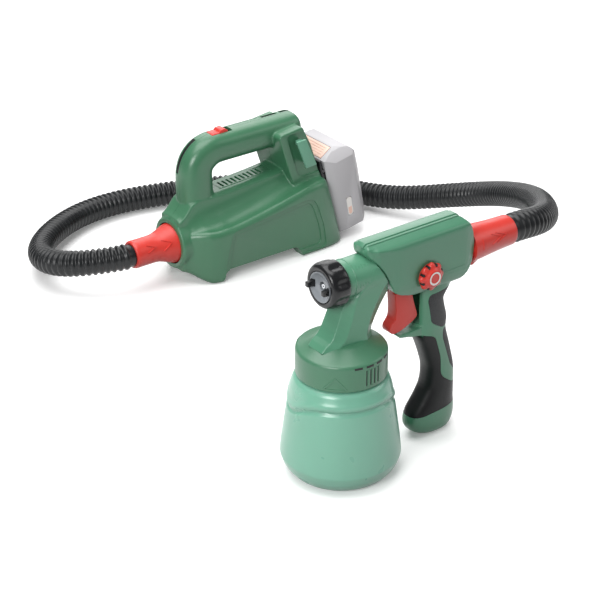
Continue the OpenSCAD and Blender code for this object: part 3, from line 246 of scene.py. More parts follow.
# %% Turned pieces and prisms
def turned(name, profile, axis="z", centre=(0, 0, 0), steps=96, bend=None):
    loops = []
    for i in range(steps):
        a = 2 * math.pi * i / steps
        loop = []
        for along, radius in profile:
            r = bend(along, radius, a) if bend else radius
            u, v = r * math.cos(a), r * math.sin(a)
            spot = {"x": (along, u, v), "y": (u, along, v), "z": (u, v, along)}[axis]
            loop.append(tuple(c + s for c, s in zip(centre, spot)))
        loops.append(loop)
    return loft(name, loops, ring=True)


def prism(name, outline, low, high, axis="y"):
    place = {"x": lambda p, t: (t, p[0], p[1]), "y": lambda p, t: (p[0], t, p[1]),
        "z": lambda p, t: (p[0], p[1], t)}[axis]
    return loft(name, [[place(p, t) for p in outline] for t in (low, high)])


def block(name, x, y, z):
    return prism(name, [(x[0], z[0]), (x[1], z[0]), (x[1], z[1]), (x[0], z[1])], y[0], y[1])


# %% [markdown]
# Modifiers do the rounding: a bevel on the hard edges, or a voxel remesh that melts overlapping forms into
# one skin. They are applied at once, so that what is measured is what is seen.

# %% Modifiers
def settle(piece):
    graph = bpy.context.evaluated_depsgraph_get()
    mesh = bpy.data.meshes.new_from_object(piece.evaluated_get(graph))
    piece.modifiers.clear()
    piece.data = mesh
    return piece


def rounded(piece, width, segments=3, angle=32):
    bevel = piece.modifiers.new("round", "BEVEL")
    bevel.width = width * MM
    bevel.segments = segments
    bevel.limit_method = "ANGLE"
    bevel.angle_limit = math.radians(angle)
    bevel.harden_normals = False
    return settle(piece)


def combine(piece, other, operation="DIFFERENCE", keep=False):
    tool = piece.modifiers.new("combine", "BOOLEAN")
    tool.operation = operation
    tool.object = other
    tool.solver = "EXACT"
    settle(piece)
    if not keep:
        bpy.data.objects.remove(other)
    return piece


def joined(name, pieces):
    shaper = bmesh.new()
    for piece in pieces:
        shaper.from_mesh(piece.data)
        bpy.data.objects.remove(piece)
    mesh = bpy.data.meshes.new(name)
    shaper.to_mesh(mesh)
    shaper.free()
    return new_object(name, mesh)


def melted(piece, voxel, rounds=4, factor=0.5):
    mesher = piece.modifiers.new("melt", "REMESH")
    mesher.mode = "VOXEL"
    mesher.voxel_size = voxel * MM
    soften = piece.modifiers.new("soften", "SMOOTH")
    soften.iterations = rounds
    soften.factor = factor
    return settle(piece)


# %% Finish a piece
def dress(piece, slot, body, *nodes, angle=38, material=None):
    piece.data.materials.clear()
    piece.data.materials.append(material or finishes[slot])
    piece.data.shade_smooth()
    piece.data.set_sharp_from_angle(angle=math.radians(angle))
    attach(piece, body)
    if nodes:
        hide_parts(*nodes)
    return piece


def smooth_line(points, steps, closed=False):
    """A curve through all the points, as many steps between neighbours."""
    n = len(points)
    line = []
    for i in range(n if closed else n - 1):
        p = [points[(i + k) % n] if closed else points[min(max(i + k, 0), n - 1)] for k in (-1, 0, 1, 2)]
        for k in range(steps):
            t = k / steps
            line.append(tuple(0.5 * (2 * b + (c - a) * t + (2 * a - 5 * b + 4 * c - d) * t * t
                + (3 * b - a - 3 * c + d) * t ** 3) for a, b, c, d in zip(*p)))
    return line if closed else line + [tuple(points[-1])]


def between(line, level):
    """The first value of a line of pairs where the second value is the level."""
    for (xa, za), (xb, zb) in zip(line, line[1:]):
        if za <= level <= zb or zb <= level <= za:
            return xa + (xb - xa) * ((level - za) / (zb - za))
    return line[0][0] if abs(level - line[0][1]) < abs(level - line[-1][1]) else line[-1][0]


# %% [markdown]
# The hose is one smooth curve. Its route is the same list of points that the solid follows, from the back of
# the gun down to the floor, behind the base unit and round to its front. A cubic B-spline passes close to
# them, and a row of rounded ribs is swept along it.

# %% Route of the hose
hose_route = [(176, 0, 178), (190, 0, 178), (204, 0, 178), (236, 6, 172), (278, 40, 152),
    (322, 88, 132), (364, 144, 108), (394, 206, 82), (410, 266, 56), (402, 324, 34),
    (372, 376, 19), (354, 428, 15), (324, 474, 15), (282, 508, 15), (234, 532, 15),
    (182, 552, 15), (132, 566, 15), (82, 566, 16), (34, 548, 18), (-10, 516, 20),
    (-38, 470, 27), (-30, 420, 38), (17, 395, 42), (31, 395, 42), (45, 395, 42)]
SPAN_STEPS = 24


def route_point(i, t):
    a, b, c, d = [Vector(hose_route[i + k]) for k in range(4)]
    return ((1 - t) ** 3 * a + (3 * t ** 3 - 6 * t * t + 4) * b
        + (1 + 3 * t + 3 * t * t - 3 * t ** 3) * c + t ** 3 * d) / 6


hose_line = [route_point(i, k / SPAN_STEPS) for i in range(len(hose_route) - 3)
    for k in range(SPAN_STEPS)] + [route_point(len(hose_route) - 4, 1)]
hose_runs = [0.0]
for a, b in zip(hose_line, hose_line[1:]):
    hose_runs.append(hose_runs[-1] + (b - a).length)
hose_length = hose_runs[-1]
print("hose length in mm:", round(hose_length, 1))


# %% Ribs of the hose
def along_hose(s):
    s = min(max(s, 0), hose_length)
    k = min(bisect.bisect_right(hose_runs, s), len(hose_runs) - 1) - 1
    share = (s - hose_runs[k]) / max(hose_runs[k + 1] - hose_runs[k], 1e-9)
    return hose_line[k].lerp(hose_line[k + 1], share)


HOSE_R, RIB_DEPTH, RIB_PITCH = 13.95, 1.9, 6.4
ribs = int((hose_length - 3) / RIB_PITCH)
rib_start = (hose_length - ribs * RIB_PITCH) / 2
rib_shape = [(0.0, 1.0), (0.12, 0.92), (0.26, 0.3), (0.4, 0.05), (0.6, 0.05), (0.74, 0.3), (0.88, 0.92)]
rings = [(0, HOSE_R - RIB_DEPTH)]
rings += [(rib_start + (i + f) * RIB_PITCH, HOSE_R - RIB_DEPTH * d)
    for i in range(ribs) for f, d in rib_shape]
rings += [(hose_length - rib_start, HOSE_R - RIB_DEPTH), (hose_length, HOSE_R - RIB_DEPTH)]
sides = 24
hose_loops = []
for s, r in rings:
    p = along_hose(s)
    heading = (along_hose(s + 3) - along_hose(s - 3)).normalized()
    if s < 3 or s > hose_length - 3:
        heading = Vector((1, 0, 0))
    across = heading.cross(Vector((0, 0, 1))).normalized()
    up = across.cross(heading)
    hose_loops.append([tuple(p + r * (math.cos(2 * math.pi * j / sides) * up
        + math.sin(2 * math.pi * j / sides) * across)) for j in range(sides)])
hose = loft("air_hose_ribbed", hose_loops)
dress(hose, "hose_black", "sprayer", "air_hose", angle=80)

# %% [markdown]
# Each end of the hose sits in a red fitting. Both are turned forms with a flare towards the unit. The one at
# the gun has a wedge below, where its lock sits, and a pair of raised arrow strokes on its side.

# %% Fitting at the gun
MM_PER_DEGREE = 0.27
STROKE_ROOT = -0.3


def raised_stroke(name, a, b, width, rise, surface):
    """A thin rounded bar that follows a surface from a to b, both as (along, turn in degrees)."""
    run, turn = b[0] - a[0], b[1] - a[1]
    scale = math.hypot(run, turn * MM_PER_DEGREE)
    side_run = -turn * MM_PER_DEGREE / scale * width
    side_turn = run / scale * width / MM_PER_DEGREE
    loops = []
    for k in range(9):
        s = a[0] + run * k / 8
        w = a[1] + turn * k / 8
        loops.append([surface(s + f * side_run, w + f * side_turn, rise if abs(f) < 1 else STROKE_ROOT)
            for f in (-1, -0.6, 0.6, 1)])
    return loft(name, loops)


GUN_END = 190
flare = smooth_line([(138.2, 17), (146, 16.6), (156, 15.9), (166, 15.1), (178, 14.5), (187, 14.2)], 3)
fitting = turned("gun_fitting", flare + [(189.2, 14.1), (GUN_END, 13.6), (GUN_END, 10.6), (139, 10.6),
    (118.2, 10.6), (118.2, 13.9), (138.2, 13.9)], "x", (0, 0, HOSE_Z), 72)
wedge = loft("gun_fitting_wedge", [[(x, -half, low), (x, half, low), (x, half, 176), (x, -half, 176)]
    for x, half, low in ((138.3, 7, 160), (143, 7, 158.6), (150, 6, 161.5), (163, 4.5, 165.5))])
rounded(wedge, 1.4, 3)


def gun_fitting_skin(along, turn, rise):
    t = min(max((along - 138) / (GUN_END - 138), 0), 1)
    r = 17 - 3.1 * t - 0.3 * math.sin(math.pi * t) + rise
    w = math.radians(turn)
    return (along, -r * math.sin(w), HOSE_Z + r * math.cos(w))


strokes = [((158, 52), (170, 70)), ((170, 70), (158, 88)), ((164, 52), (176, 70)), ((176, 70), (164, 88)),
    ((147, 60), (147, 95))]
marks = [raised_stroke("gun_fitting_mark", a, b, 0.7, 0.7, gun_fitting_skin) for a, b in strokes]
fitting = joined("gun_fitting_red", [fitting, wedge] + marks)
dress(fitting, "red_plastic", "sprayer", "gun_connector")

# %% Fitting at the base unit
BASE_END = 31
nozzle_line = smooth_line([(34, 15.1), (48, 14.9), (59, 15.2), (68, 17.6), (77, 20.9), (81.5, 22)], 4)
inlet = turned("base_fitting", [(BASE_END, 10.6), (BASE_END, 14), (32.2, 14.8)] + nozzle_line
    + [(87.8, 22), (87.8, 16.9), (106, 16.9), (106, 10.6)], "x", INLET_LINE, 72)


def base_fitting_skin(along, turn, rise):
    r = 15 + max(0, along - 59) * 0.31 + rise
    w = math.radians(turn)
    return (along, base_y - r * math.sin(w), INLET_LINE[2] + r * math.cos(w))


strokes = [((44, 42), (54, 58)), ((54, 58), (44, 74)), ((62, 40), (72, 60)), ((72, 60), (62, 84)),
    ((78.5, 20), (78.5, 100))]
marks = [raised_stroke("base_fitting_mark", a, b, 0.7, 0.75, base_fitting_skin) for a, b in strokes]
inlet = joined("base_fitting_red", [inlet] + marks)
dress(inlet, "red_plastic", "sprayer", "base_connector")

# %% [markdown]
# The paint container is blown plastic: a profile spun about its axis, with a rounded foot, a full belly and a
# shoulder under the lid. Round the shoulder runs a groove with a ridge above it. Both stay high on the front
# and back faces and dip at the two sides, so the radius also depends on the turn.

# %% Paint container
GROOVE_HIGH, GROOVE_DIP, GROOVE_TURN = 79.5, 12, math.radians(-112)
GROOVE_DEPTH, GROOVE_WIDTH = 1.7, 1.7
RIDGE_RISE, RIDGE_WIDTH, RIDGE_ABOVE = 0.8, 3, 5.5


def groove_height(turn):
    return GROOVE_HIGH - GROOVE_DIP * abs(math.sin(turn - GROOVE_TURN)) ** 7


def container_bend(along, radius, turn):
    if radius < 33 or along > 96 or along < 45 or (radius < 47 and along < 60):
        return radius
    up = along - groove_height(turn)
    return (radius - GROOVE_DEPTH * math.exp(-(up / GROOVE_WIDTH) ** 2)
        + RIDGE_RISE * math.exp(-((up - RIDGE_ABOVE) / RIDGE_WIDTH) ** 2))


side_points = [(0.2, 41.5), (0.9, 43.4), (3.2, 46.2), (9, 50.6), (14, 52.7), (17.6, 53.85), (19.6, 53.95),
    (22, 53.7), (28, 53.1), (40, 51.5), (54, 49.6), (66, 47.9), (75, 46.6), (82, 45.4),
    (86, 44.6), (90, 43.3), (93, 42.1), (95.2, 40.5), (96.5, 38.6), (97.1, 36.5)]
side_radii = [(radius, z) for z, radius in side_points]
belly = smooth_line(side_points[:9], 4)
belly += [(29 + k * 0.9, between(side_radii, 29 + k * 0.9)) for k in range(73)]
belly += [(95.2, 40.5), (96, 39.5), (96.7, 38.2), (97.1, 36.5)]
profile = [(2, 0), (2, 36), (0.05, 37.4), (0.05, 40.6)] + belly + [(97.2, 34), (117.9, 34), (117.9, 32.3),
    (95.4, 32.3), (92, 38), (84, 42), (60, 45.5), (20, 52), (4, 44), (4, 0)]
container = turned("paint_container", profile, "z", (0, 0, 0), 144, container_bend)
dress(container, "container_plastic", "container_body", "container", angle=50)

# %% [markdown]
# The lid is a darker screw ring with a sloping top. Four short slots run along its upper edge and four grip
# ribs below them, and the same again on the far side. The slots and the grooves beside the ribs are thin
# dark plates of painted shade. A plain raised triangle marks the closing direction.

# %% Lid
LID_R = 40.45
lid_profile = [(98, 36.2), (98, 39.8), (98.8, LID_R), (104, LID_R), (119.6, LID_R), (121.4, 40.1),
    (122.6, 39.2), (123.2, 38), (124.6, 35), (127.6, 29), (130.6, 23.4), (131.4, 21.5),
    (131.45, 0), (120, 0), (120, 36.2)]
lid = turned("lid_ring", lid_profile, "z", (0, 0, 0), 128)


def lid_skin(height, turn, rise):
    w = math.radians(turn)
    r = LID_R + rise
    return (r * math.cos(w), r * math.sin(w), height)


def patch(name, low, high, turn_a, turn_b, inner, outer, steps=8):
    """A curved plate on the lid's skirt."""
    loops = []
    for k in range(steps + 1):
        w = turn_a + (turn_b - turn_a) * k / steps
        loops.append([lid_skin(low, w, inner), lid_skin(low, w, outer), lid_skin(high, w, outer),
            lid_skin(high, w, inner)])
    return loft(name, loops)


# The slots and the grooves beside the ribs are not cut into the lid: thin near-black plates on the skirt
# paint the shade that lies in them.
lid_marks, lid_shade_plates = [], []
for side in (0, 180):
    for k in range(4):
        mid = -107 + 16 * k + side
        lid_shade_plates.append(patch("lid_slot_shade", 119.3, 121.1, mid - 5.2, mid + 5.2, -0.6, 0.12))
    for k in range(4):
        mid = -96 + 6 * k + side
        lid_shade_plates.append(patch("lid_groove_shade", 102, 117, mid - 0.7, mid + 0.7, -0.6, 0.06, 2))
        lid_marks.append(patch("lid_rib", 101, 117.6, mid + 1.6, mid + 4.2, -0.4, 0.45, 3))
    for a, b in (((101, -150), (112, -136)), ((112, -136), (101, -122)), ((101, -122), (101, -150))):
        lid_marks.append(raised_stroke("lid_triangle", (a[0], a[1] + side), (b[0], b[1] + side), 0.5, 0.45,
            lid_skin))
lid = joined("lid_ring_green", [lid] + lid_marks)
dress(lid, "lid_green", "sprayer", "container_lid")
lid_shade = joined("lid_painted_slot_shade", lid_shade_plates)
dress(lid_shade, "black_plastic", "sprayer", material=painted_shade)

# %% [markdown]
# Two more ways to make a mesh. A soft copy takes a plain solid of the model, joins its triangles into whole
# faces and rounds its edges. A fine skin takes a few coarse loops and runs smooth curves through them, both
# round each loop and from loop to loop.

# %% Soft copies and fine skins
def soft_copy(node, width):
    piece = new_object(node + "_soft", frame["nodes"][node].data.copy())
    shaper = bmesh.new()
    shaper.from_mesh(piece.data)
    bmesh.ops.remove_doubles(shaper, verts=shaper.verts, dist=2e-6)
    bmesh.ops.dissolve_limit(shaper, angle_limit=math.radians(0.6), verts=shaper.verts, edges=shaper.edges)
    shaper.to_mesh(piece.data)
    shaper.free()
    return rounded(piece, width, 2, 28)


def run_through(loops, steps):
    """More loops between the given ones, each point on a smooth curve through its neighbours."""
    lines = [smooth_line([loop[j] for loop in loops], steps) for j in range(len(loops[0]))]
    return [[line[i] for line in lines] for i in range(len(lines[0]))]


def oval(a, b, sides, power):
    points = []
    for i in range(sides):
        c, s = math.cos(2 * math.pi * i / sides), math.sin(2 * math.pi * i / sides)
        points.append((a * math.copysign(abs(c) ** (2 / power), c),
            b * math.copysign(abs(s) ** (2 / power), s)))
    return points


def corners(outline):
    """Each point of an outline between its two neighbours."""
    spots = [Vector(point) for point in outline]
    return zip(spots[-1:] + spots[:-1], spots, spots[1:] + spots[:1])


def round_corners(outline, radius, steps=5):
    """An outline with each corner cut by a small arc."""
    points = []
    for a, b, c in corners(outline):
        r = min(radius, (a - b).length * 0.45, (c - b).length * 0.45)
        p, q = b + (a - b).normalized() * r, b + (c - b).normalized() * r
        for k in range(steps + 1):
            t = k / steps
            points.append(tuple((1 - t) ** 2 * p + 2 * t * (1 - t) * b + t * t * q))
    return points


def grown(outline, step):
    """An outline moved outwards by a step, each point along the middle of its corner."""
    area = sum(a[0] * b[1] - b[0] * a[1] for a, b in zip(outline, outline[1:] + outline[:1]))
    way = 1 if area > 0 else -1
    moved = []
    for a, b, c in corners(outline):
        u, v = (b - a).normalized(), (c - b).normalized()
        side = Vector((u[1] + v[1], -u[0] - v[0])) * way
        if side.length < 1e-6:
            side = Vector((u[1], -u[0])) * way
        side.normalize()
        share = max(0.5, side.dot(Vector((u[1], -u[0])) * way))
        moved.append(tuple(b + side * step / share))
    return moved


def cut(piece, other, keep=False):
    return combine(piece, other, "DIFFERENCE", keep)


# %% [markdown]
# The spray head carries the barrel on a leaning neck, which is wide at the lid and narrow in front. A loft
# runs through seven outlines of the neck. It is melted with the turned barrel into one skin, so that the
# joint between them is softly filled.

# %% Spray head
neck_levels = [(127.5, [(-29.5, 9.5), (-19, 16), (14, 18.5), (26, 10)]),
    (132, [(-25, 10), (-14, 16.3), (14, 18), (25.3, 10)]),
    (138, [(-17.5, 10), (-8, 16.5), (14, 17.5), (25, 10)]),
    (156, [(-9.5, 9), (-1, 16.3), (20, 17.3), (33, 11)]), (174, [(-2, 8), (5, 16), (30, 17.7), (44, 12)]),
    (186, [(10, 8), (18, 17.9), (40, 17.9), (46, 12)]), (196, [(18, 8), (23, 15), (38, 15), (40, 9)])]
neck_loops = [[(x, y, z) for x, y in half] + [(x, -y, z) for x, y in reversed(half)]
    for z, half in neck_levels]
pillar = loft("head_pillar", run_through(neck_loops, 3))
BARREL_R = 17.5
barrel = turned("head_barrel", [(-18.1, 0), (-18.1, 15.1), (-17.6, 15.5), (-5, 15.5), (-5, 16.9),
    (-4.4, BARREL_R), (27, BARREL_R), (27, 14.5), (45.9, 14.5), (45.9, 0)], "x", NOZZLE_LINE)
nut_space = turned("nut_space", [(-40, 0), (-40, 21.8), (-5, 21.8), (-5, 0)], "x", NOZZLE_LINE, 64)
gun_space = prism("gun_space", [(21, 216), (16.8, 213), (16.8, 205.8), (19.6, 202.9), (27.8, 195),
    (33.9, 183.9), (39, 173.4), (42.2, 164.6), (47.2, 160.8), (57, 157),
    (67, 154), (80, 150), (160, 150), (160, 216)], -40, 40)
cut(pillar, nut_space)
cut(pillar, gun_space)
head = joined("spray_head_skin", [pillar, barrel])
melted(head, 0.55, 3, 0.5)
bore = turned("head_bore", [(-30, 0), (-30, 11.5), (50, 11.5), (50, 0)], "x", NOZZLE_LINE, 64)
cut(head, bore)


def barrel_skin(along, turn, rise):
    w = math.radians(turn)
    r = BARREL_R + rise
    return (along, -r * math.sin(w), axis_z + r * math.cos(w))


# %% Marks on the barrel
head_marks = [raised_stroke("barrel_mark", (x, w - half), (x, w + half), 0.35, 0.3, barrel_skin)
    for half, places in ((7, (6, 12, 18)), (3, (9, 15))) for w in (38, 92) for x in places]
head_marks.append(turned("barrel_ring", [(1.4, 17), (1.4, 17.7), (1.8, 18), (2.4, 17.7), (2.4, 17)], "x",
    NOZZLE_LINE))
lug = loft("barrel_lug", [[(14 + d * 0.5 - 0.55 * (168 - z), y * s, z) for y, z in
    ((-8, 171), (-8, 163), (-5, 158.6), (0, 157), (5, 158.6), (8, 163), (8, 171))]
    for d, s in ((0, 0.92), (-2, 1), (8, 1))])
head = joined("spray_head_green", [head, lug] + head_marks)
dress(head, "head_green", "sprayer", "spray_head", angle=50)

# %% [markdown]
# The union nut has a glossy, sculpted body: eight shallow finger hollows turn into flats towards its front
# edge. Its lip frames the air cap, which is a grey dish with two black horns and a pale nozzle in the middle.

# %% Union nut
def nut_bend(along, radius, a):
    if radius < 18.4:
        return radius
    share = min(1, max(0, (along + 22.5) / 6)) * min(1, max(0, (-4.6 - along) / 5))
    wave = 0.5 - 0.5 * math.cos(8 * a)
    return radius - 1.7 * share * wave ** 2 * (radius - 16) / 5


nut_line = smooth_line([(-23.9, 17.4), (-23, 18.8), (-21, 20), (-18, 20.8), (-13, 20.95), (-9, 20.8),
    (-6.6, 20.1), (-5.3, 18.7)], 4)
nut = turned("union_nut_black", [(-21, 14), (-23.2, 14), (-24, 14.8), (-24, 16.6)] + nut_line
    + [(-5.2, 15.58), (-21, 15.58)], "x", NOZZLE_LINE, 160, nut_bend)
dress(nut, "black_plastic", "nut_body", "union_nut", angle=60)

# %% Air cap
dish = turned("air_cap_dish", smooth_line([(-24.4, 13.5), (-24.1, 12.6), (-22.6, 10.4), (-21.6, 8),
    (-21.3, 6), (-21.1, 4.3)], 4) + [(-18.5, 4.3), (-18.5, 15.1), (-20.7, 15.1), (-20.8, 13.7),
    (-24.4, 13.7)], "x", NOZZLE_LINE, 96)
dress(dish, "cap_grey", "cap_body", angle=45)
horns = []
for side in (-1, 1):
    horn = loft("air_horn", [[(x, side * 11 + y, axis_z + z)
        for y, z in ((-2, -half), (2, -half), (2, half), (-2, half))]
        for x, half in ((-30, 2.3), (-26, 2.6), (-21, 3.6))])
    rounded(horn, 0.5, 3)
    hole = turned("horn_hole", [(side * 5, 0), (side * 5, 0.7), (side * 14, 0.7), (side * 14, 0)],
        "y", (-27, 0, axis_z), 20)
    horns.append(cut(horn, hole))
horns = joined("air_cap_horns", horns)
dress(horns, "black_plastic", "cap_body", angle=45)
cap = joined("air_cap_whole", [dish, horns])
cap.data.materials.clear()
cap.data.materials.append(finishes["cap_grey"])
cap.data.materials.append(finishes["black_plastic"])
for face in cap.data.polygons:
    back = (face.center.x - gun_x) / MM
    out = abs((face.center.y - gun_y) / MM)
    up = abs(face.center.z / MM - axis_z)
    if back < -24.5 or (8.9 < out < 13.1 and up < 3.7 and back < -20.5):
        face.material_index = 1
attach(cap, "cap_body")
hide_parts("air_cap")

# %% Nozzle
nozzle = turned("nozzle_tip", [(-20.5, 0.8), (-20.5, 2), (-20, 2.4), (-17, 3), (-15, 7), (-14, 7),
    (-14, 11.4), (-1, 11.4), (-1, 6), (21.9, 6), (21.9, 2.3), (-18, 2.3), (-18, 0.8)], "x", NOZZLE_LINE, 64)
dress(nozzle, "nozzle_metal", "sprayer", "fluid_nozzle")

# %% [markdown]
# The gun body is drawn from its two side curves. Its front face slopes back under the barrel, and its back is
# upright. Between them run sections with a flat spine, a stepped shoulder and a slightly crowned side.

# %% Gun body
front_edge = [(80, 154), (67, 155.6), (57, 158.6), (48, 162), (43.6, 165.5), (40.4, 174.3), (35.2, 184.5),
    (29, 196), (23, 201.6), (19.4, 205), (18, 208), (18.2, 211.4), (20.4, 213.8)]
back_edge = [(118, 154), (123, 155.4), (127.4, 158.6), (131.6, 164.4), (135.4, 171), (137.6, 177), (138, 183),
    (137.8, 189), (135.6, 197), (132.4, 204), (129.4, 209), (126.6, 212.4), (124, 213.8)]
side_line = [(0, 213.6), (4, 213.5), (6.6, 213.1), (8, 212.6), (11, 211.4), (13.6, 210.3), (15.2, 209.4),
    (16.4, 208.1), (17.1, 206.5), (17.45, 204), (17.5, 198), (17.5, 188), (17.5, 178), (17.4, 170),
    (17.1, 165), (16.4, 161), (15.5, 157.6), (14.2, 155.4), (12.4, 154.3), (9, 154), (0, 154)]
body_ring = side_line + [(-y, z) for y, z in reversed(side_line[1:-1])]
plan_line = [(7.5, 17), (10.6, 20), (14, 24), (15.2, 28), (16, 34), (17.1, 45), (17.4, 49), (17.5, 54),
    (17.5, 124), (16.6, 130), (15.2, 134.6), (13.4, 138)]


BODY_LONG, BODY_MID, BODY_HALF = 110, 184.5, 30.5


def body_section(share, inset=0.0, squeeze=1.0):
    loop = []
    for y, z in body_ring:
        low, high = between(front_edge, z), between(back_edge, z)
        x = low + (high - low) * share
        half = min(between(plan_line, x), abs(y))
        z = BODY_MID + (z - BODY_MID) * (1 - inset / BODY_HALF)
        loop.append((x, math.copysign(max(0, half - inset), y) * squeeze, z))
    return loop


EDGE = 1.8
arc = [(EDGE * (1 - math.cos(w)), EDGE * (1 - math.sin(w))) for w in
    [math.pi / 2 * k / 4 for k in range(5)]]
sections = [body_section(0, EDGE, s) for s in (0, 0.35, 0.7)]
sections += [body_section(d / BODY_LONG, inset) for d, inset in arc]
sections += [body_section(k / 24) for k in range(2, 23)]
sections += [body_section(1 - d / BODY_LONG, inset) for d, inset in reversed(arc)]
sections += [body_section(1, EDGE, s) for s in (0.7, 0.35, 0)]
gun_body = loft("gun_body_form", sections, closed_ends=False)

# %% Handle form
handle_levels = [(1.5, 105, 15, 9), (3.5, 104, 19.5, 12), (8, 102.5, 24, 14), (15, 102, 26.5, 15),
    (24, 103, 25.5, 15), (31, 105, 22.5, 14.6), (38, 107.5, 19.5, 14.3),
    (50, 110.5, 15.8, 14), (66, 110.5, 14.6, 14), (80, 107, 14.8, 14), (94, 102.5, 15.6, 14),
    (108, 97.5, 17, 14), (120, 97.5, 17, 14.5), (134, 95.2, 15.3, 15), (142, 95, 14.8, 15),
    (150, 98, 18, 15), (165, 102, 23, 15)]


def handle_loops(inset):
    loops = []
    for z, x, deep, half in handle_levels:
        z += inset if z < 2 else -inset if z > 160 else 0
        loops.append([(x + p, q, z) for p, q in oval(deep - inset, half - inset, 56, 2.4)])
    return run_through(loops, 4)


handle = loft("gun_handle_form", handle_loops(0.05))
ledge = prism("trigger_ledge", round_corners([(56.2, 116.2), (58, 113.4), (68, 111.4), (80, 107), (92, 104),
    (92, 118), (78, 116), (62, 115.6)], 1.2), -9.4, 9.4)
rounded(ledge, 1, 3)
gun_form = joined("gun_form", [gun_body, handle, ledge])
melted(gun_form, 0.6, 4, 0.5)
print("faces in the gun form:", len(gun_form.data.polygons))

# %% [markdown]
# The black grip and the three textured inserts are let into the handle. Each is the part of the same form
# that lies inside a side outline, so its surface runs on from the shell around it with only a fine gap.

# %% Grip and inserts
grip_outline = round_corners([(60, 21), (83, 22.5), (96, 25.5), (136, 28.5), (136, 48), (119, 50), (105, 61),
    (103, 82), (95.5, 105.5), (75, 110), (60, 112)], 5)
insert_outlines = [[(88, 149), (86, 143), (90.5, 120), (103, 112), (124, 112), (124, 135), (120, 153)],
    [(105, 110), (104.5, 101), (114.5, 71), (121, 62), (140, 61), (140, 84), (130, 110)],
    [(121, 0), (128, 0), (140, 12), (140, 26), (127, 15)]]
insert_outlines = [round_corners(outline, 3) for outline in insert_outlines]
core = loft("handle_core", handle_loops(2.2))
shells = new_object("gun_shells", gun_form.data.copy())


def let_in(outline, name, gap=0.22):
    wide_tool = prism(name + "_room", outline, -40, 40)
    cut(wide_tool, core, keep=True)
    cut(shells, wide_tool)
    tool = prism(name + "_tool", grown(outline, -gap), -40, 40)
    cut(tool, core, keep=True)
    return combine(new_object(name, gun_form.data.copy()), tool, "INTERSECT")


ledge_room = prism("ledge_room", [(50, 119), (54, 111), (68, 110.4), (80, 106), (92, 103), (94, 120)],
    -9.9, 9.9)
grip = cut(let_in(grip_outline, "soft_grip_black"), ledge_room)
dress(grip, "soft_black", "sprayer", "soft_grip", angle=50)
inserts = joined("grip_inserts_black", [let_in(outline, "insert") for outline in insert_outlines])
rough_black = moulded("rough_black", "#1E2022", rough=0.6, spread=0.75, broad=900, grain=1.0,
    grain_scale=1100)
dress(inserts, "black_plastic", "sprayer", "grip_inserts", angle=50, material=rough_black)

# %% Rooms in the gun shells
room = prism("trigger_room", [(42, 116.6), (70, 116.6), (84, 119), (93, 126), (97, 136), (93, 148),
    (88, 160), (76, 205), (50, 205), (47, 152)], -7.1, 7.1)
cut(shells, room)
for name, line, axis, centre in (
        ("barrel_room", [(5, 0), (5, 17.8), (27.3, 17.8), (27.3, 14.7), (46.2, 14.7), (46.2, 0)], "x",
        NOZZLE_LINE),
        ("dial_seat", [(-20, 0), (-20, 14.2), (-16.9, 14.2), (-16.9, 0)], "y", DIAL_SPOT),
        ("hose_room", [(118, 0), (118, 14.2), (150, 14.2), (150, 0)], "x", (0, 0, HOSE_Z)),
        ("dial_room", [(-60, 0), (-60, 4.1), (-5, 4.1), (-5, 0)], "y", DIAL_SPOT)):
    cut(shells, turned(name, line, axis, centre, 64))
for x, z in ((84, 203), (112, 200), (111, 163.5), (111, 60), (104, 14)):
    cut(shells, turned("screw_room", [(5, 0), (5, 2.9), (40, 2.9), (40, 0)], "y", (x, 0, z), 32))
bpy.data.objects.remove(core)
bpy.data.objects.remove(gun_form)

# %% [markdown]
# Two thin lines mark the lower rear of each side, and a fine seam splits the two shells along their middle.
# The spine stands above the body in two narrow steps, which are separate prisms with rounded edges.

# %% Lines on the gun body
for side in (-1, 1):
    for z in (166.6, 169.6):
        groove = block("side_line", (98, 131 - (169.6 - z)), (side * 17.5 - 0.35, side * 17.5 + 0.35),
            (z, z + 0.35))
        cut(shells, groove)
seam = block("seam", (0, 150), (-0.12, 0.12), (-2, 220))
cut(shells, seam)
tiers = []
for half, top, start in ((6.9, 214, 18.9), (4.1, 214.95, 18)):
    tier = prism("spine", [(start, 206.4), (start + 2, 204), (60, 208), (125, 206), (132.6 - half / 2, 204),
        (130.2 - half / 3, 208.4), (126.8 - half / 3, 212.8), (124 - half / 3, top),
        (start + 3, top), (start, top - 2.6)], -half, half)
    tiers.append(rounded(tier, 0.5, 3, 20))
shells = joined("gun_shells", [shells] + tiers)
dress(shells, "gun_green", "sprayer", "gun_shell_left", "gun_shell_right", angle=50)

# %% [markdown]
# The trigger has a smooth side outline, a hooked lip below and well rounded edges, and its blade narrows
# towards the finger. A plain arm carries it up inside the body to the pin, about which the whole turns.

# %% Trigger
blade_line = [(58.5, 162), (57.6, 158.4), (54.8, 156.6), (54.6, 154), (55.4, 146), (55.8, 138), (55, 131.6),
    (51.6, 127.4), (49.7, 124.4), (49.8, 120.6), (52.4, 118), (56.4, 117.7), (62, 119), (70, 122),
    (77, 125.6), (79.6, 128.6), (79.2, 132.4), (76, 142), (73.4, 152), (71.4, 162)]
blade = prism("trigger_blade", smooth_line(blade_line, 4), -6.5, 6.5)
TIP_X, TAPER_LONG, TIP_SHARE = 49, 11, 0.86
for point in blade.data.vertices:
    x, z = (point.co.x - gun_x) / MM, point.co.z / MM
    if x < TIP_X + TAPER_LONG and z < 160:
        wider = max(0, (x - TIP_X) / TAPER_LONG)
        point.co.y = gun_y + (point.co.y - gun_y) * (TIP_SHARE + (1 - TIP_SHARE) * wider)
rounded(blade, 1.5, 5, 40)
arm = prism("trigger_arm", [(54, 156), (54, 199), (56, 203.5), (60, 203.5), (62, 199), (62, 180),
    (70, 158)], -3.5, 3.5)
rounded(arm, 0.5, 2)
cut(arm, turned("pin_room", [(-20, 0), (-20, 2.06), (20, 2.06), (20, 0)], "y", (58, 0, 199), 32))
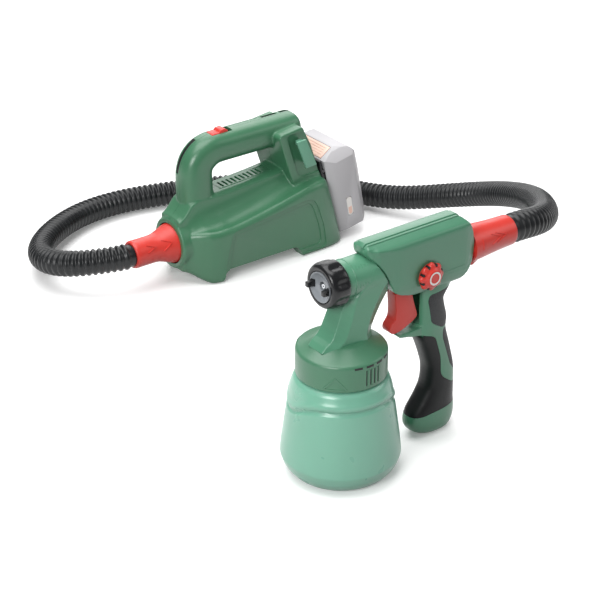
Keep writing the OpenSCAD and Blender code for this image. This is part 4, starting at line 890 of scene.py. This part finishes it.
cut(arm, turned("needle_room", [(40, 0), (40, 2.7), (80, 2.7), (80, 0)], "x", NOZZLE_LINE, 32))
combine(blade, arm, "UNION")
dress(blade, "red_plastic", "trigger_body", "trigger", angle=40)

# %% [markdown]
# The flow dial is turned about a line across the body. Eight lobes stand out from its rim, with hollows
# between them that hold small plugs of painted shade, and a white ring marks its raised middle.

# %% Flow dial
def dial_bend(along, radius, a):
    if radius < 9:
        return radius
    wave = (0.5 + 0.5 * math.cos(8 * a)) ** 0.6
    depth = 2.6 if -23.6 < along < -18.3 else 0.0
    return radius - depth * (1 - wave)


dial_line = smooth_line([(-18.2, 12), (-18.9, 13.1), (-20.2, 13.4), (-21.8, 12.8), (-23, 11.3),
    (-23.8, 9.6)], 4)
dial = turned("flow_dial_red", [(-11, 0), (-11, 4), (-17.2, 4), (-17.2, 11.4), (-17.9, 12)]
    + dial_line + [(-24.3, 8.6), (-25.4, 8), (-26, 7.2), (-26.2, 6.5), (-25.7, 6.3),
    (-25.7, 4.7), (-26.1, 4.4), (-26.1, 0)], "y", DIAL_SPOT, 192, dial_bend)
dress(dial, "red_plastic", "dial_body", "flow_dial", angle=42)
ring = turned("flow_dial_ring", [(-25.8, 6.32), (-26.1, 6.26), (-26.2, 5.5), (-26.1, 4.74),
    (-25.8, 4.68)], "y", DIAL_SPOT, 64)
dress(ring, "display_white", "dial_body", material=ring_white)
# Small near-black plugs sit in the hollows between the lobes: painted shade, standing for the shadow down in
# them.
shade_plugs = []
for k in range(8):
    w = 2 * math.pi * (k + 0.5) / 8
    spot = (DIAL_X + 10.7 * math.cos(w), 0, DIAL_Z + 10.7 * math.sin(w))
    shade_plugs.append(turned("dial_shade_plug", [(-22.9, 0), (-22.9, 0.8), (-22.3, 1.4), (-18.6, 1.4),
        (-18.6, 0)], "y", spot, 16))
shade_plugs = joined("flow_dial_shade_plugs", shade_plugs)
dress(shade_plugs, "black_plastic", "dial_body", material=painted_shade)

# %% [markdown]
# The base unit's skin runs through stations along its length, with curves between them: a broad body with a
# hollowed shoulder, a looped carry handle, the block for the battery, and the round collar.

# %% Base unit body
base_stations = [(81, 0, 23, 54, 70, 15), (86, 0, 24.5, 56, 73, 13), (91, 0, 28.5, 58, 78, 10.5),
    (97, 0, 34, 59, 85, 6), (105, 0, 39.5, 60, 89, 1.2), (109, 0, 41.5, 60, 89, 0),
    (116, 0, 43.8, 60, 89, 0), (126, 0, 45, 61, 89, 0), (140, 0.02, 45.5, 62, 89, 0),
    (180, 0.08, 45.5, 68, 91, 0), (220, 0.16, 45.5, 75, 94, 0), (248, 0.22, 45.5, 80, 97, 0),
    (266, 0.25, 44.5, 82, 98, 0), (277, 0.26, 41.5, 82, 98, 0), (283, 0.27, 37, 80, 97, 0)]


def bell(wide, shoulder, top, floor_z):
    half = [(0, floor_z), (wide * 0.5, floor_z), (wide - 4, floor_z), (wide - 1.2, floor_z + 1.4),
        (wide, floor_z + 5), (wide, floor_z + 14), (wide, shoulder - 22), (wide, shoulder - 9),
        (wide - 0.2, shoulder - 6), (wide - 0.9, shoulder - 3.6), (wide - 2.4, shoulder - 1.4)]
    neck = min(17.5, wide - 6)
    for k in range(13):
        w = math.pi / 2 * k / 12
        half.append((neck + (wide - 5 - neck) * (1 - math.sin(w)), shoulder + (top - shoulder)
            * (1 - math.cos(w))))
    half += [(neck - 6, top + 2), (neck * 0.3, top + 2.4), (0, top + 2.5)]
    return half + [(-y, z) for y, z in reversed(half[1:-1])]


def base_loops(inset, floor_z):
    loops = []
    for x, lean_share, wide, shoulder, top, low in base_stations:
        edge = inset if x < 120 else -inset if x > 230 else 0
        loops.append([(x + edge - lean_share * z, base_y + y, z) for y, z in
            bell(wide - inset, shoulder - inset * 0.6, top - inset, max(floor_z, low + inset))])
    return run_through(loops, 4)


carry_levels = [(113, 70, 19, 0), (113, 88, 19, 0), (112.5, 106, 18.8, 0), (113, 118, 18.5, 8),
    (117, 127, 18.5, 28), (124, 133.5, 18, 50), (133, 137, 16.9, 74), (145, 137.7, 16.3, 90),
    (165, 137.7, 16.3, 90), (185, 137.7, 16.3, 90), (205, 137.7, 16.3, 90),
    (222, 137.7, 16.3, 90), (236, 137.7, 16.3, 90), (240, 137, 15.9, 90), (243, 136, 14, 90),
    (245, 135, 11, 90), (246, 134.5, 6.8, 90)]
leg_levels = [(229, 139, 11, 172), (234, 126, 16, 172), (238, 112, 16, 172), (241.5, 96, 15.5, 172),
    (244, 80, 15.5, 172)]


def carry_loops(levels):
    loops = []
    for x, z, half, turn in levels:
        w = math.radians(turn)
        loops.append([(x - p * math.cos(w), base_y - q, z + p * math.sin(w))
            for p, q in oval(half, min(17, half + 1), 48, 2.6)])
    return run_through(loops, 4)


BLOCK_HALF, FLANK, STRAP_SLOTS = 30, 45.5, ((203, 223), (227, 240))
block_line = [(223, 78), (217, 95), (203, 139), (206, 142.5), (234, 146), (240, 134), (246, 122), (256, 90),
    (262, 78)]

# %% Join the forms of the base unit
base_form = loft("base_form", base_loops(0, 0.02))
carry = loft("carry_form", carry_loops(carry_levels))
leg = loft("leg_form", carry_loops(leg_levels))
dock_block = prism("block_form", round_corners(block_line, 2.4, 4), base_y - BLOCK_HALF, base_y + BLOCK_HALF)
rounded(dock_block, 3, 4, 50)
collar = turned("collar_form", [(79, 0), (79, 26.4), (79.6, 27.8), (81, 28.5), (98, 28.5),
    (98, 0)], "x", INLET_LINE, 96)
base_skin = joined("base_unit", [base_form, carry, leg, dock_block, collar])
melted(base_skin, 0.8, 8, 0.5)
print("faces in the base form:", len(base_skin.data.polygons))

# %% [markdown]
# The unit stands on four feet: an arch crosses it from side to side and another from front to back. Behind,
# the dock leaves room for the battery. All these are cut with plain tools, as in the model.

# %% Cuts in the base unit
DOCK_X, DOCK_Z, LEAN = 281, 58, math.radians(11)


def dock_point(u, y, v):
    return (DOCK_X + u * math.cos(LEAN) - v * math.sin(LEAN), base_y + y,
        DOCK_Z + u * math.sin(LEAN) + v * math.cos(LEAN))


def dock_box(name, u, y, v):
    return loft(name, [[dock_point(a, b, c) for a, b in ((u[0], y[0]), (u[1], y[0]), (u[1], y[1]),
        (u[0], y[1]))] for c in v])


side_arch = prism("side_arch", round_corners([(116.5, -3), (123, 13), (218, 13), (226.8, -3)], 5),
    base_y - 60, base_y + 60)
long_arch = prism("long_arch", [(base_y - 30.7, -3), (base_y - 24, 8), (base_y + 24, 8),
    (base_y + 30.7, -3)], 60, 300, "x")
for tool in (side_arch, long_arch, dock_box("dock_room", (-17, 63), (-31, 31), (-60, 54)),
        dock_box("battery_room", (-2, 78), (-60, 60), (-70, 170)),
        turned("inlet_room", [(70, 0), (70, 22.8), (114, 22.8), (114, 0)], "x", INLET_LINE, 96),
        block("switch_room", (133, 159), (base_y - 6.3, base_y + 6.3), (146, 174))):
    cut(base_skin, tool)

# %% Side panels
STEP_ONE, STEP_TWO, BLOCK_STEP = 1.9, 3.6, 1.9
panel = [(119.6, 4), (124.2, 30), (130.4, 53.2), (134, 56.2), (228, 67.6), (238, 65.4), (244, 55), (252, 31),
    (256, 4)]
outer = round_corners(panel, 7, 6)
inner = round_corners(grown(panel, -5), 6, 6)
for side in (-1, 1):
    face_y = base_y + side * FLANK
    step_one = prism("panel_step", outer, face_y - STEP_ONE, face_y + STEP_ONE)
    step_two = prism("panel_floor", inner, face_y - STEP_TWO, face_y + STEP_TWO)
    rounded(step_one, 0.7, 3, 50)
    rounded(step_two, 1, 3, 50)
    recess = prism("block_recess", round_corners([(212.5, 138.6), (226.5, 92.5), (231, 88.5), (275, 88.5),
        (275, 141), (216, 141)], 3),
        base_y + side * BLOCK_HALF - BLOCK_STEP, base_y + side * BLOCK_HALF + BLOCK_STEP)
    rounded(recess, 0.8, 3, 50)
    for tool in (step_one, step_two, recess):
        cut(base_skin, tool)

# %% Strap slots and grille room
for low, high in STRAP_SLOTS:
    cut(base_skin, block("slot_room", (low, high), (base_y + 2, base_y + 7), (149, 160)))
cut(base_skin, block("grille_room", (140, 206), (base_y - 8, base_y + 8), (70, 108)))
front_slot = []
for turn in range(-2, 66, 4):
    w = math.radians(turn)
    share = max(0, min(1, (turn + 2) / 66))
    cx, cz = 113 + 13.5 * share ** 1.6, 117 + 18 * share
    front_slot.append([(cx - r * math.cos(w), y, cz + r * math.sin(w)) for r, y in
        ((15.5, base_y + 2), (24, base_y + 2), (24, base_y + 7), (15.5, base_y + 7))])
cut(base_skin, loft("front_slot_room", front_slot))

# %% Hollow the base unit and part its shells
cut(base_skin, loft("base_hollow", base_loops(5, 15.6)))
cut(base_skin, block("parting", (60, 300), (base_y - 0.12, base_y + 0.12), (60, 200)))
dress(base_skin, "base_green", "sprayer", "base_shell_left", "base_shell_right", angle=50)

# %% Painted shade in the strap slots
# Near-black blocks just inside the two strap slots and the curved front slot paint the shade that lies in
# them.
shade_blocks = [block("slot_shade_block", (low - 0.5, high + 0.5), (base_y + 1.5, base_y + 7.5), (149.4, 152.4))
    for low, high in STRAP_SLOTS]
front = []
for loop in front_slot:
    a, b = Vector(loop[0]), Vector(loop[1])
    way = (b - a).normalized()
    front.append([tuple(a + way * d + Vector((0, dy, 0))) for d, dy in ((0.2, -0.4), (2, -0.4), (2, 5.4),
        (0.2, 5.4))])
shade_blocks.append(loft("front_slot_shade", front))
shade_blocks = joined("strap_slot_shades", shade_blocks)
dress(shade_blocks, "black_plastic", "sprayer", "strap_slots", material=painted_shade)

# %% [markdown]
# The smaller parts keep the plain outlines of the model but gain rounded edges: the battery and its button,
# its dock, the tabs for the strap, the intake grille and the power slider.

# %% Soft copies of the small parts
for node, width, body in (("strap_brackets", 1.6, "sprayer"), ("vent_grille", 0.4, "sprayer"),
        ("power_switch", 0.8, "switch_body"), ("battery_dock", 0.4, "sprayer"),
        ("battery_case", 1.3, "battery_body"), ("battery_button", 0.6, "button_body")):
    dress(soft_copy(node, width), slot_of[node], body, node, angle=40)

# %% [markdown]
# The charge display is a window with round ends in the side of the battery. A second, smaller shape lies on
# it and fills its lower half with a warm tone.

# %% Charge display
display_low, display_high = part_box("charge_display")
display_x, display_y, display_z = [(a + b) / 2 / MM for a, b in zip(display_low, display_high)]
display_x -= gun_x / MM
display_y -= gun_y / MM


def capsule(name, half_long, half_wide, top):
    outline = []
    for k in range(24):
        w = 2 * math.pi * (k + 0.5) / 24
        u = half_wide * math.cos(w)
        v = half_wide * math.sin(w) + math.copysign(half_long - half_wide, math.sin(w))
        v = min(v, top)
        outline.append((display_x + u * math.cos(LEAN) - v * math.sin(LEAN),
            display_z + u * math.sin(LEAN) + v * math.cos(LEAN)))
    return prism(name, outline, display_y - 0.6, display_y + 0.6)


window = capsule("charge_display_face", 11.4, 3.6, 20)
dress(window, "display_white", "battery_body", "charge_display", angle=40)
glow = capsule("charge_display_low", 10, 2.3, -1)
glow.location.y -= 0.12 * MM
dress(glow, "button_peach", "battery_body", angle=40)

# %% [markdown]
# Soft light comes from a broad panel overhead, a smaller one at the upper left, a weak one on the right and
# one from behind that puts a sheen on the top faces, so that sides fall off in tone. The floor is white to
# the eye. It sends only little light back up, which keeps the lower sides dark, and still shows the shadow.

# %% Lamps
centre = at(110, 190, 90)
lamps = [("overhead", (-0.3, 0.3, 2.2), 2.0, 52), ("key", (-1.9, -1.0, 1.2), 1.0, 36),
    ("rim", (1.6, -1.0, 1.0), 1.0, 7), ("back", (0.9, 1.3, 1.05), 1.5, 18)]
for name, offset, size, power in lamps:
    data = bpy.data.lights.new(name, "AREA")
    data.size = size
    data.energy = power
    lamp = new_object(name, data)
    lamp.location = centre + Vector(offset)
    lamp.rotation_euler = (centre - lamp.location).to_track_quat("-Z", "Y").to_euler()

# %% Floor
floor_white = moulded("floor_white", "#F7F7F7", rough=0.8, spread=0.01, grain=0.0, broad=2, specular=0.1)
floor_nodes, floor_links = floor_white.node_tree.nodes, floor_white.node_tree.links
seen = floor_nodes.new("ShaderNodeLightPath")
either = seen.outputs["Is Camera Ray"]
for ray in ("Is Glossy Ray", "Is Transmission Ray"):
    larger = floor_nodes.new("ShaderNodeMath")
    larger.operation = "MAXIMUM"
    floor_links.new(either, larger.inputs[0])
    floor_links.new(seen.outputs[ray], larger.inputs[1])
    either = larger.outputs["Value"]
dim = floor_nodes.new("ShaderNodeBsdfDiffuse")
dim.inputs["Color"].default_value = light("#8C8C8C") + [1]
choice = floor_nodes.new("ShaderNodeMixShader")
floor_links.new(either, choice.inputs["Fac"])
floor_links.new(dim.outputs["BSDF"], choice.inputs[1])
floor_links.new(floor_nodes["Principled BSDF"].outputs["BSDF"], choice.inputs[2])
floor_links.new(choice.outputs["Shader"], floor_nodes["Material Output"].inputs["Surface"])
floor_glow = floor_nodes["Principled BSDF"]
floor_glow.inputs["Emission Color"].default_value = (1, 1, 1, 1)
floor_glow.inputs["Emission Strength"].default_value = 0.15
FLOOR_HALF = 3.0
floor_mesh = bpy.data.meshes.new("floor")
floor_mesh.from_pydata([(x * FLOOR_HALF, y * FLOOR_HALF, 0) for x, y in ((-1, -1), (1, -1), (1, 1), (-1, 1))],
    [], [(0, 1, 2, 3)])
floor = new_object("floor", floor_mesh)
floor.location = (0, 0, -0.0002)
floor.data.materials.append(floor_white)

# %% Light of the room
world = bpy.data.worlds.new("room")
scene.world = world
world.use_nodes = True
background = world.node_tree.nodes["Background"]
background.inputs["Color"].default_value = (1, 1, 1, 1)
background.inputs["Strength"].default_value = 0.26
